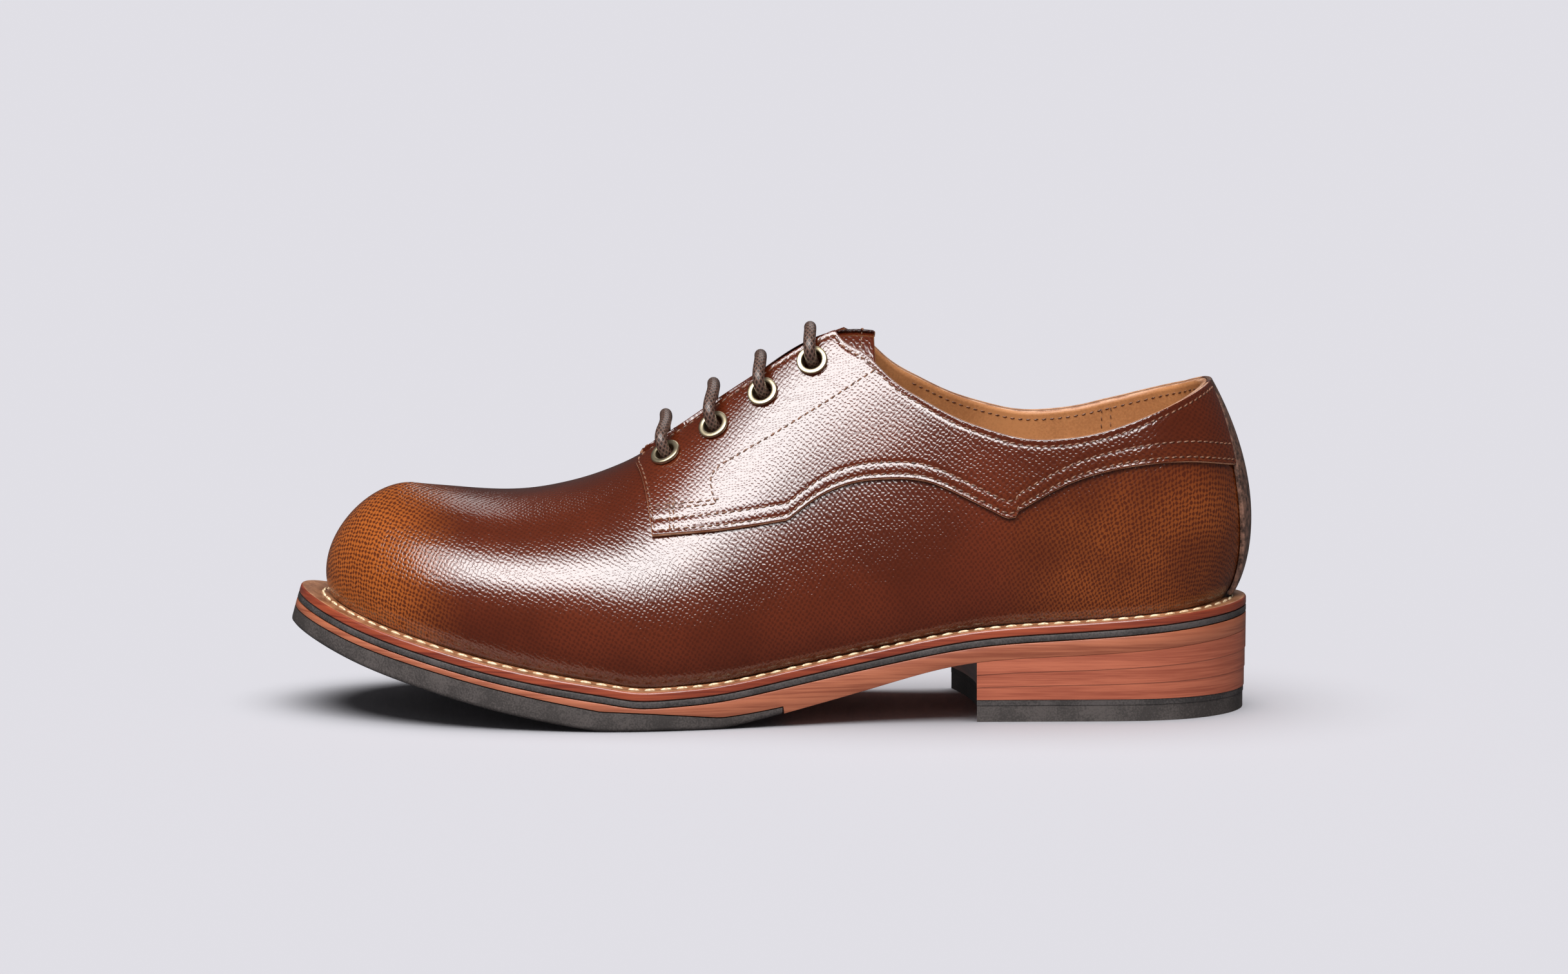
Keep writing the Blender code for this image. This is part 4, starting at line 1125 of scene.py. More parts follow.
@dataclass(frozen=True)
class SmoothLeather:
    """Leather without an embossed grain: linings, cut edges and the back strip."""

    name: str
    dark: Colour
    light: Colour
    rough: float = 0.5
    coat: float = 0.0
    mottle: float = 140.0
    depth: float = 0.00008
    contrast: tuple[float, float] = (0.35, 0.65)

    def material(self) -> Material:
        """The leather as a material."""
        nodes = Nodes(self.name)
        place = nodes.place()
        cloud = nodes.noise(place, self.mottle, 4.0)
        fibre = nodes.noise(place, 1500.0, 3.0)
        mixed = nodes.math("ADD", nodes.math("MULTIPLY", cloud, 0.65), nodes.math("MULTIPLY", fibre, 0.35))
        colour = nodes.blend(nodes.span(mixed, *self.contrast), self.dark, self.light)
        return nodes.finish(
            Base_Color=colour,
            Roughness=self.rough,
            Normal=nodes.bump(mixed, self.depth),
            Coat_Weight=self.coat,
            Coat_Roughness=0.22,
        )


@dataclass(frozen=True)
class CutEdge:
    """The waxed cut edge of sole leather, with its fibres running along the sole."""

    name: str
    dark: Colour
    light: Colour
    coat: float = 0.5
    rough: float = 0.42
    streak: float = 9.0

    def material(self) -> Material:
        """The edge as a material."""
        nodes = Nodes(self.name)
        place = nodes.place()
        cloud = nodes.noise(place, 22.0, 3.0, 3.0)
        streaks = nodes.noise(place, self.streak, 5.0, 70.0)
        fine = nodes.noise(place, 60.0, 4.0, 30.0)
        mixed = nodes.math("ADD", nodes.math("MULTIPLY", streaks, 0.55), nodes.math("MULTIPLY", fine, 0.45))
        share = nodes.math("MULTIPLY", nodes.span(mixed, 0.34, 0.62), nodes.span(cloud, 0.2, 0.6, 0.6, 1.0))
        colour = nodes.blend(share, self.dark, self.light)
        return nodes.finish(
            Base_Color=colour,
            Roughness=self.rough,
            Normal=nodes.bump(mixed, 0.00012),
            Coat_Weight=self.coat,
            Coat_Roughness=0.2,
        )


@dataclass(frozen=True)
class Rubber:
    """Matt rubber with a fine speckle."""

    name: str
    dark: Colour
    light: Colour
    rough: float = 0.6

    def material(self) -> Material:
        """The rubber as a material."""
        nodes = Nodes(self.name)
        place = nodes.place()
        speckle = nodes.noise(place, 1800.0, 2.0)
        cloud = nodes.noise(place, 90.0, 3.0)
        mixed = nodes.math("ADD", nodes.math("MULTIPLY", speckle, 0.5), nodes.math("MULTIPLY", cloud, 0.5))
        colour = nodes.blend(nodes.span(mixed, 0.4, 0.62), self.dark, self.light)
        return nodes.finish(
            Base_Color=colour, Roughness=self.rough, Normal=nodes.bump(speckle, 0.00005)
        )


@dataclass(frozen=True)
class Brass:
    """Aged brass, polished in patches."""

    name: str = "eyelet_brass"
    worn: Colour = (0.60, 0.51, 0.35, 1.0)
    aged: Colour = (0.48, 0.40, 0.26, 1.0)

    def material(self) -> Material:
        """The metal as a material."""
        nodes = Nodes(self.name)
        place = nodes.place()
        cloud = nodes.noise(place, 500.0, 3.0)
        colour = nodes.blend(nodes.span(cloud, 0.35, 0.6), self.aged, self.worn)
        return nodes.finish(
            Base_Color=colour,
            Metallic=1.0,
            Roughness=nodes.span(cloud, 0.3, 0.7, 0.42, 0.34),
            Normal=nodes.bump(cloud, 0.00001),
        )


@dataclass(frozen=True)
class Braid:
    """A waxed round braid: strands that cross round the cord."""

    name: str = "lace_braid"
    dark: Colour = (0.020, 0.010, 0.007, 1.0)
    light: Colour = (0.105, 0.055, 0.040, 1.0)
    pitch: float = 0.0017
    strands: float = 16.0

    def material(self) -> Material:
        """The cord as a material, from its flat places: along in metres, round in turns."""
        nodes = Nodes(self.name)
        along, turn, _ = nodes.split(nodes.flat())
        length = nodes.math("MULTIPLY", along, 2 * math.pi / self.pitch)
        round_it = nodes.math("MULTIPLY", turn, 2 * math.pi * self.strands / 2)
        left = nodes.math("SINE", nodes.math("ADD", length, round_it))
        right = nodes.math("SINE", nodes.math("SUBTRACT", length, round_it))
        cross = nodes.math("MAXIMUM", left, right)
        height = nodes.span(cross, -0.4, 1.0)
        fibre = nodes.noise(nodes.place(), 2500.0, 2.0)
        mixed = nodes.math("ADD", nodes.math("MULTIPLY", height, 0.8), nodes.math("MULTIPLY", fibre, 0.2))
        colour = nodes.blend(nodes.span(mixed, 0.15, 0.85), self.dark, self.light)
        return nodes.finish(
            Base_Color=colour,
            Roughness=0.42,
            Normal=nodes.bump(mixed, 0.00012),
            Coat_Weight=0.35,
            Coat_Roughness=0.3,
        )


@dataclass(frozen=True)
class Cord:
    """Sewing thread of one colour with a twist of light and shade."""

    name: str
    dark: Colour
    light: Colour
    rough: float = 0.45

    def material(self) -> Material:
        """The thread as a material."""
        nodes = Nodes(self.name)
        fibre = nodes.noise(nodes.place(), 1600.0, 2.0)
        colour = nodes.blend(nodes.span(fibre, 0.35, 0.6), self.dark, self.light)
        return nodes.finish(Base_Color=colour, Roughness=self.rough, Normal=nodes.bump(fibre, 0.00006))


class Finishes:
    """Every material of the shoe, made once."""

    def __init__(self) -> None:
        """Makes the materials."""
        self.upper = GrainLeather("grain_leather").material()
        self.lining = SmoothLeather(
            "tan_lining", (0.34, 0.135, 0.047, 1), (0.50, 0.215, 0.080, 1), 0.5, 0.1, 45.0
        ).material()
        self.raw_edge = SmoothLeather(
            "raw_edge", (0.30, 0.115, 0.05, 1), (0.62, 0.33, 0.19, 1), 0.42, 0.35, 220.0
        ).material()
        self.strip = SmoothLeather(
            "strip_leather_dark", (0.030, 0.016, 0.012, 1), (0.21, 0.105, 0.07, 1), 0.42, 0.3, 420.0, 0.00025
        ).material()
        self.welt = CutEdge(
            "welt_edge", (0.125, 0.017, 0.008, 1), (0.28, 0.052, 0.020, 1), 0.6, 0.35
        ).material()
        self.welt_face = SmoothLeather(
            "welt_face", (0.20, 0.075, 0.03, 1), (0.42, 0.19, 0.09, 1), 0.45, 0.3, 160.0
        ).material()
        self.sole = CutEdge("sole_edge", (0.21, 0.050, 0.022, 1), (0.37, 0.115, 0.055, 1)).material()
        self.heel = CutEdge(
            "heel_edge", (0.25, 0.055, 0.027, 1), (0.40, 0.110, 0.056, 1), 0.5, 0.4, 7.0
        ).material()
        self.dark_rubber = Rubber(
            "dark_rubber_finish", (0.026, 0.022, 0.021, 1), (0.062, 0.052, 0.050, 1)
        ).material()
        self.tread_rubber = Rubber(
            "tread_rubber_finish", (0.034, 0.028, 0.026, 1), (0.070, 0.058, 0.054, 1)
        ).material()
        self.brass = Brass().material()
        self.lace = Braid().material()
        self.brown_thread = Cord("brown_thread", (0.050, 0.018, 0.009, 1), (0.22, 0.095, 0.050, 1)).material()
        self.pale_thread = Cord("pale_thread", (0.50, 0.33, 0.18, 1), (0.86, 0.68, 0.45, 1)).material()


@dataclass
class SoleUnit:
    """Welt, midsole, leather sole, rubber half sole and heel, with the welt's stitching."""

    last: Last
    finishes: Finishes
    welt_ledge: float = 0.0055
    welt_round: float = 0.0009
    groove_half: float = 0.0008
    groove_depth: float = 0.00025
    rubber_round: float = 0.0014
    edge_round: float = 0.00025
    heel_length: float = 0.0866
    breast_advance: float = 0.006
    breast_hollow: float = 0.004
    top_piece_thick: float = 0.0052
    pad_thick: float = 0.0018
    lifts: int = 3
    lift_gap: float = 0.00003
    taper: float = 0.0008
    breast_spare: float = 0.02
    half_stations: int = 130
    heel_stations: int = 70
    stitch_inset: float = 0.62
    stitch_drop: float = 0.0001
    thread: Thread = Thread(0.00045, 0.0040, 0.0050, 0.05, 8, 9, 0.1)

    def turns(self, first: float, last: float, stations: int) -> Array:
        """Angles on the outer side from one share of the length to another."""
        return np.linspace(float(angle_of(first)), float(angle_of(last)), stations)

    def stations(self) -> Array:
        """Angles of the layers, with a pair just behind the rubber half sole."""
        start = RUBBER[0][0]
        step = self.last.gap / self.last.length
        behind = self.turns(0.0, start - 2 * step, self.half_stations)
        return np.concatenate([behind, self.turns(start - step, 1.0, self.half_stations)])

    def slab(self, name: str, levels: Sequence[tuple[Height, float]], angles: Array) -> Mesh:
        """A layer of the sole.

        Args:
            name: the mesh's name.
            levels: (height function of x, inset of the edge) from the underside up.
            angles: the turns of its edge on the outer side.

        Returns:
            The closed mesh.
        """
        count = len(angles)
        points = []
        for height, inset in levels:
            for turn in (angles, -angles):
                x, y = self.last.edge(turn, inset)
                points.append(self.last.sole_point(x, y, height(x)))

        def at(level: int, side: int, k: int) -> int:
            """The number of a point."""
            return (level * 2 + side) * count + k

        top = len(levels) - 1
        faces = []
        for k in range(count - 1):
            faces.append((at(0, 0, k), at(0, 1, k), at(0, 1, k + 1), at(0, 0, k + 1)))
            faces.append((at(top, 0, k), at(top, 0, k + 1), at(top, 1, k + 1), at(top, 1, k)))
            for level in range(top):
                for side in (0, 1):
                    a, b = at(level, side, k), at(level + 1, side, k)
                    faces.append((a, a + 1, b + 1, b))
        for level in range(top):
            for k in (0, count - 1):
                a, b = at(level, 0, k), at(level, 1, k)
                c, d = at(level + 1, 1, k), at(level + 1, 0, k)
                faces.append((a, b, c, d))
        mesh = new_mesh(name, np.concatenate(points), faces)
        clean(mesh)
        return mesh

    def edged(self, low: Height, high: Height, inset: float = 0.0) -> list[tuple[Height, float]]:
        """Levels of a layer with its two edges broken."""
        r = self.edge_round
        return [
            (low, inset + r),
            (lambda x: low(x) + 0.3 * r, inset + 0.3 * r),
            (lambda x: low(x) + r, inset),
            (lambda x: high(x) - r, inset),
            (lambda x: high(x) - 0.3 * r, inset + 0.3 * r),
            (high, inset + r),
        ]

    def build_welt(self) -> None:
        """The welt, with a rounded outer edge and a groove for its stitches."""
        last = self.last
        turns = self.stations()
        angles = np.concatenate([turns, 2 * math.pi - turns[1:-1][::-1]])
        width = last.welt_width * last.welt_share(angles)
        seam = width * self.stitch_inset
        r = self.welt_round
        loops: list[tuple[float, Array]] = [
            (last.welt_thick, r * 0.3 + 0 * width),
            (last.welt_thick - 0.3 * r, 0 * width),
        ]
        for k in range(6):
            turn = math.pi / 2 * k / 5
            loops.append((r * (1 - math.sin(turn)), r * (1 - math.cos(turn)) + 0 * width))
        groove, depth = self.groove_half, self.groove_depth
        loops += [
            (0.0, seam - groove),
            (depth * 0.7, seam - groove * 0.5),
            (depth, seam),
            (depth * 0.7, seam + groove * 0.5),
            (0.0, seam + groove),
            (0.0, width + self.welt_ledge),
            (last.welt_thick, width + self.welt_ledge),
        ]
        points = []
        for drop, inset in loops:
            x, y = last.edge(angles, inset)
            points.append(last.sole_point(x, y, last.welt_top(x) - drop))
        count, rows = len(angles), len(loops)
        faces = []
        kinds = []
        for i in range(rows):
            j = (i + 1) % rows
            for k in range(count):
                n = (k + 1) % count
                faces.append((i * count + k, i * count + n, j * count + n, j * count + k))
                kinds.append(1 if 5 <= i < rows - 2 else 0)
        mesh = new_mesh("welt_strip", np.concatenate(points), faces)
        mesh.polygons.foreach_set("material_index", kinds)
        clean(mesh)
        Piece.add("welt_strip", mesh, [self.finishes.welt, self.finishes.welt_face], ["welt"], Slot.WELT)

    def build_stitches(self) -> None:
        """The pale lockstitch round the welt."""
        last = self.last
        turns = np.linspace(0, 2 * math.pi, 5 * self.half_stations)
        inset = last.welt_width * last.welt_share(turns) * self.stitch_inset
        x, y = last.edge(turns, inset)
        line = last.sole_point(x, y, last.welt_top(x) - self.stitch_drop)
        normals = np.broadcast_to([0.0, 0.0, 1.0], line.shape)
        mesh = self.thread.lay([(line, normals)], "welt_stitches")
        Piece.add("welt_stitches", mesh, [self.finishes.pale_thread])

    def build_layers(self) -> None:
        """Midsole, leather sole and rubber half sole."""
        last = self.last
        finishes = self.finishes
        angles = self.stations()
        start = RUBBER[0][0]
        step = last.gap / last.length

        def leather_low(x: Array) -> Array:
            """The leather's underside, over the rubber where there is some."""
            covered = last.share_of(x) >= start - 1.5 * step
            return np.where(covered, last.rubber_top(x) + last.gap, last.tread_bottom(x))

        def under(depth: float) -> Height:
            """The face at a depth under the welt's top."""
            return lambda x: last.welt_top(x) - depth

        upper = last.welt_thick + last.gap
        lower = last.welt_thick + last.midsole_thick
        mesh = self.slab("midsole_layer", self.edged(under(lower), under(upper)), angles)
        Piece.add("midsole_layer", mesh, [finishes.dark_rubber], ["midsole_rubber"], Slot.DARK_RUBBER)
        mesh = self.slab("leather_layer", self.edged(leather_low, under(lower + last.gap)), angles)
        Piece.add("leather_layer", mesh, [finishes.sole], ["leather_sole"], Slot.SOLE)
        r = self.rubber_round
        levels = [
            (last.tread_bottom, r),
            (lambda x: last.tread_bottom(x) + 0.12 * r, 0.5 * r),
            (lambda x: last.tread_bottom(x) + 0.3 * r, 0.28 * r),
            (lambda x: last.tread_bottom(x) + 0.6 * r, 0.08 * r),
            (lambda x: last.tread_bottom(x) + r, 0.0),
            (last.rubber_top, 0.0),
        ]
        ahead = np.concatenate([self.turns(start, start, 1), angles[self.half_stations + 1 :]])
        mesh = self.slab("half_sole", levels, ahead)
        Piece.add("half_sole", mesh, [finishes.tread_rubber], ["rubber_half_sole"], Slot.TREAD_RUBBER)

    def breast(self) -> Object:
        """The cutter in front of the heel, whose wall is the hollow slanting breast."""
        last = self.last
        outer_x = last.heel_end - self.heel_length
        inner_x = outer_x - self.breast_advance
        outer = Vector((outer_x, float(last.reach(angle_of(last.share_of(outer_x))))))
        inner = Vector((inner_x, float(last.reach(-angle_of(last.share_of(inner_x))))))
        chord = inner - outer
        radius = chord.length**2 / (8 * self.breast_hollow) + self.breast_hollow / 2
        back = Vector((chord.y, -chord.x)).normalized()
        centre = (outer + inner) / 2 + back * (self.breast_hollow - radius)
        work = bmesh.new()
        bmesh.ops.create_cone(
            work,
            cap_ends=True,
            segments=512,
            radius1=radius,
            radius2=radius,
            depth=4 * last.heel_lift,
            matrix=Matrix.Translation((centre.x, centre.y, last.heel_lift)),
        )
        mesh = bpy.data.meshes.new("breast")
        work.to_mesh(mesh)
        work.free()
        return bpy.data.objects.new("breast", mesh)

    def build_heel(self) -> None:
        """The heel: rubber top piece, its pad and the leather lifts up to the sole."""
        last, finishes = self.last, self.finishes
        breast = last.heel_end - self.heel_length - self.breast_advance
        front = float(last.share_of(breast)) + self.breast_spare
        cutter = self.breast()
        bpy.context.scene.collection.objects.link(cutter)
        pad, stack = self.top_piece_thick, self.top_piece_thick + self.pad_thick

        def lift(k: int) -> Height:
            """The plane under a lift, which turns from the pad's to the sole's."""
            return lambda x: stack + (last.tread_bottom(x) - stack) * k / self.lifts

        def level(height: float) -> Height:
            """A level plane at a height."""
            return lambda x: 0 * x + height

        rubber, dark = Slot.TREAD_RUBBER, Slot.DARK_RUBBER
        layers = [
            ("top_piece", "top_piece_rubber", finishes.tread_rubber, rubber, level(0), level(pad)),
            ("heel_pad", "top_piece_pad", finishes.dark_rubber, dark, level(pad), level(stack)),
        ]
        for k in range(self.lifts):
            names = (f"lift_{k + 1}", f"heel_lift_{k + 1}")
            layers.append((*names, finishes.heel, Slot.HEEL, lift(k), lift(k + 1)))
        angles = self.turns(0.0, front, self.heel_stations)
        for k, (name, node, finish, slot, low, high) in enumerate(layers):
            inset = self.taper * (1 - k / (len(layers) - 1))
            levels = [(low, inset), (lambda x, high=high: high(x) - self.lift_gap, inset)]
            mesh = self.slab(name, levels, angles)
            obj = Piece.add(name, mesh, [finish], [node], slot)
            modifier = obj.modifiers.new("cut", "BOOLEAN")
            modifier.operation = "DIFFERENCE"
            modifier.object = cutter
            settle(obj)
        bpy.data.objects.remove(cutter)

    def build(self) -> None:
        """Builds the whole sole unit."""
        self.build_welt()
        self.build_stitches()
        self.build_layers()
        self.build_heel()


@dataclass
class UpperShell:
    """The vamp and lower quarters as one hollow wall, with its lining and insole."""

    last: Last
    finishes: Finishes
    rear_columns: int = 150
    front_columns: int = 90
    rows: int = 56
    crowding: float = 1.25
    insole_thick: float = 0.0025
    front_spare: float = 0.0015

    def angles(self, rear: int, ahead: int) -> tuple[Array, int]:
        """Angles of columns round the shoe, with one pair at the front end of the throat."""
        last = self.last
        front = last.heel_end - last.throat_front
        behind = np.linspace(0, float(last.angle_at(Side.OUTER, front, last.eyelet_level)), rear)
        before = last.angle_at(Side.OUTER, front - self.front_spare, last.eyelet_level)
        before = np.linspace(float(before), math.pi, ahead)
        outer = np.concatenate([behind, before])
        inner = 2 * math.pi - outer[::-1]
        return np.concatenate([outer, inner[1:]]), rear

    def tops(self, angles: Array, rear: int) -> Array:
        """The rise at which each column ends: the opening behind, the ridge in front."""
        count = len(angles)
        back = np.zeros(count, bool)
        back[:rear] = True
        back[count - rear :] = True
        return np.where(back, self.last.top_rise(angles), 1.0)

    def flatten(self, rear: int = 44, ahead: int = 26, rows: int = 16) -> Callable[[Array, Array], Array]:
        """Lays the skin flat on a coarse grid, as its maker's pattern, with little stretch.

        Args:
            rear: columns behind the throat's front end on a side.
            ahead: columns in front of it.
            rows: rows of the grid.

        Returns:
            A function of angle and rise, that gives flat places in metres.
        """
        angles, rear = self.angles(rear, ahead)
        tops = self.tops(angles, rear)
        shares = np.linspace(0, 1, rows + 1)
        grid = self.last.skin(angles[None, :], shares[:, None] * tops[None, :])
        faces = grid_faces(rows + 1, len(angles))
        mesh = new_mesh("pattern", grid, faces, np.zeros((grid.shape[0] * grid.shape[1], 2)))
        mesh.attributes.new("number", "INT", "POINT").data.foreach_set(
            "value", np.arange(len(mesh.vertices), dtype=np.int32)
        )
        obj = bpy.data.objects.new("pattern", mesh)
        bpy.context.scene.collection.objects.link(obj)
        for other in bpy.context.selected_objects:
            other.select_set(False)
        bpy.context.view_layer.objects.active = obj
        obj.select_set(True)
        bpy.ops.object.mode_set(mode="EDIT")
        bpy.ops.mesh.select_all(action="SELECT")
        bpy.ops.mesh.remove_doubles(threshold=1e-6)
        bpy.ops.uv.unwrap(method="MINIMUM_STRETCH", margin=0.0)
        bpy.ops.object.mode_set(mode="OBJECT")
        flat = np.zeros(len(mesh.loops) * 2)
        mesh.uv_layers[0].data.foreach_get("uv", flat)
        corners = np.zeros(len(mesh.loops), np.int32)
        mesh.loops.foreach_get("vertex_index", corners)
        place = np.zeros(len(mesh.vertices) * 3)
        mesh.vertices.foreach_get("co", place)
        place = place.reshape(-1, 3)
        found = np.zeros((len(mesh.vertices), 2))
        found[corners] = flat.reshape(-1, 2)
        points = grid.reshape(-1, 3)
        nearest = np.array([np.argmin(((place - point) ** 2).sum(1)) for point in points])
        spread = found[nearest].reshape(*grid.shape[:2], 2)
        bpy.data.objects.remove(obj)
        real = np.linalg.norm(np.diff(grid, axis=1), axis=-1)
        drawn = np.linalg.norm(np.diff(spread, axis=1), axis=-1)
        spread = spread * float(np.median(real / np.maximum(drawn, 1e-9)))

        def places(angle: Array, rise: Array) -> Array:
            """The flat skin's places at angles and rises."""
            angle, rise = np.broadcast_arrays(angle, rise)
            column = np.interp(angle, angles, np.arange(len(angles)))
            row = np.clip(rise / np.interp(angle, angles, tops), 0, 1) * rows
            k = np.clip(column.astype(int), 0, len(angles) - 2)
            i = np.clip(row.astype(int), 0, rows - 1)
            a, b = (column - k)[..., None], (row - i)[..., None]
            low = spread[i, k] * (1 - a) + spread[i, k + 1] * a
            high = spread[i + 1, k] * (1 - a) + spread[i + 1, k + 1] * a
            return low * (1 - b) + high * b

        return places

    def build_upper(self) -> Object:
        """The wall of the upper, its lining on the inner face."""
        last = self.last
        angles, rear = self.angles(self.rear_columns, self.front_columns)
        tops = self.tops(angles, rear)
        shares = np.linspace(0, 1, self.rows + 1)[:, None] ** self.crowding
        grid = last.skin(angles[None, :], shares * tops[None, :])
        places = self.flatten()(angles[None, :], shares * tops[None, :])
        mesh = new_mesh("vamp", grid, grid_faces(self.rows + 1, len(angles)), places)
        clean(mesh, outward=False)
        work = bmesh.new()
        work.from_mesh(mesh)
        side = sum(face.normal.dot(face.calc_center_median() - Vector((0, 0, 0.03))) for face in work.faces)
        if side < 0:
            bmesh.ops.reverse_faces(work, faces=work.faces)
        work.to_mesh(mesh)
        work.free()
        finishes = [self.finishes.upper, self.finishes.lining, self.finishes.raw_edge]
        obj = Piece.add("vamp", mesh, finishes, ["upper"], Slot.UPPER)
        wall = obj.modifiers.new("wall", "SOLIDIFY")
        wall.thickness = last.upper_thick
        wall.offset = -1
        wall.use_even_offset = True
        wall.use_rim = True
        wall.material_offset = 1
        wall.material_offset_rim = 2
        settle(obj)
        return obj

    def build_insole(self) -> None:
        """The insole with its sock, a plate inside the upper."""
        last = self.last
        turns = np.linspace(0.0, math.pi, 90)

        def inset_of(turn: Array) -> Array:
            """How far inside the sole's edge the insole ends."""
            return last.welt_width * last.welt_share(turn) + last.upper_thick + 2 * last.gap

        across = np.linspace(0, 1, 15)[:, None]
        outer = np.stack(last.edge(turns, inset_of(turns)), axis=-1)
        inner = np.stack(last.edge(-turns, inset_of(-turns)), axis=-1)
        flat = outer[None] * (1 - across[..., None]) + inner[None] * across[..., None]
        low = last.welt_top(flat[..., 0]) + last.gap
        base = np.concatenate([flat, low[..., None]], axis=-1)
        top = base + [0, 0, self.insole_thick]
        count = base.shape[0] * base.shape[1]
        faces = grid_faces(*base.shape[:2]) + grid_faces(*base.shape[:2], first=count)
        for k in range(base.shape[1] - 1):
            for row in (0, base.shape[0] - 1):
                a = row * base.shape[1] + k
                faces.append((a, a + 1, a + 1 + count, a + count))
        mesh = new_mesh("insole_sock", np.concatenate([base.reshape(-1, 3), top.reshape(-1, 3)]), faces)
        clean(mesh)
        Piece.add("insole_sock", mesh, [self.finishes.lining], ["insole"], Slot.LINING)


class QuarterMap:
    """A quarter's columns, measured along the leather so that rows can follow its edges."""

    FINE = 241

    def __init__(self, last: Last, side: Side, columns: Sequence[int], height: float) -> None:
        """Measures the columns of one quarter.

        Args:
            last: the form of the shoe.
            side: the quarter's side.
            columns: columns under each sweep of its lower edge.
            height: the height over the skin at which lengths are measured.
        """
        self.last = last
        self.up = np.linspace(0, 1, self.FINE)
        up = self.up[:, None]
        angles, rises = [], []
        for sweep, number in zip(SWEEPS, columns):
            angle = last.quarter_angles(side, sweep, number, up)
            angle = angle[:, 1:] if angles else angle
            low, top = last.edge_rise(angle, sweep), last.top_rise(angle)
            angles.append(angle)
            rises.append(low + (top - low) * up)
        self.angle = np.concatenate(angles, axis=1)
        self.rise = np.concatenate(rises, axis=1)
        points = last.over(self.angle, self.rise, height)
        steps = np.linalg.norm(np.diff(points, axis=0), axis=-1)
        self.lengths = np.concatenate([np.zeros((1, steps.shape[1])), np.cumsum(steps, axis=0)])
        self.share = last.share_of(points[0, :, 0])
        throat = last.throat_rise(self.angle[-1]) <= last.collar_rise(self.angle[-1])
        self.corner = int(np.argmin(throat))

    def at(self, distance: Array) -> tuple[Array, Array]:
        """Angles and rises at distances from the lower edge, one column of them for each column."""
        angle, rise = np.empty_like(distance), np.empty_like(distance)
        for k in range(distance.shape[1]):
            place = np.interp(distance[:, k], self.lengths[:, k], self.up)
            angle[:, k] = np.interp(place, self.up, self.angle[:, k])
            rise[:, k] = np.interp(place, self.up, self.rise[:, k])
        return angle, rise


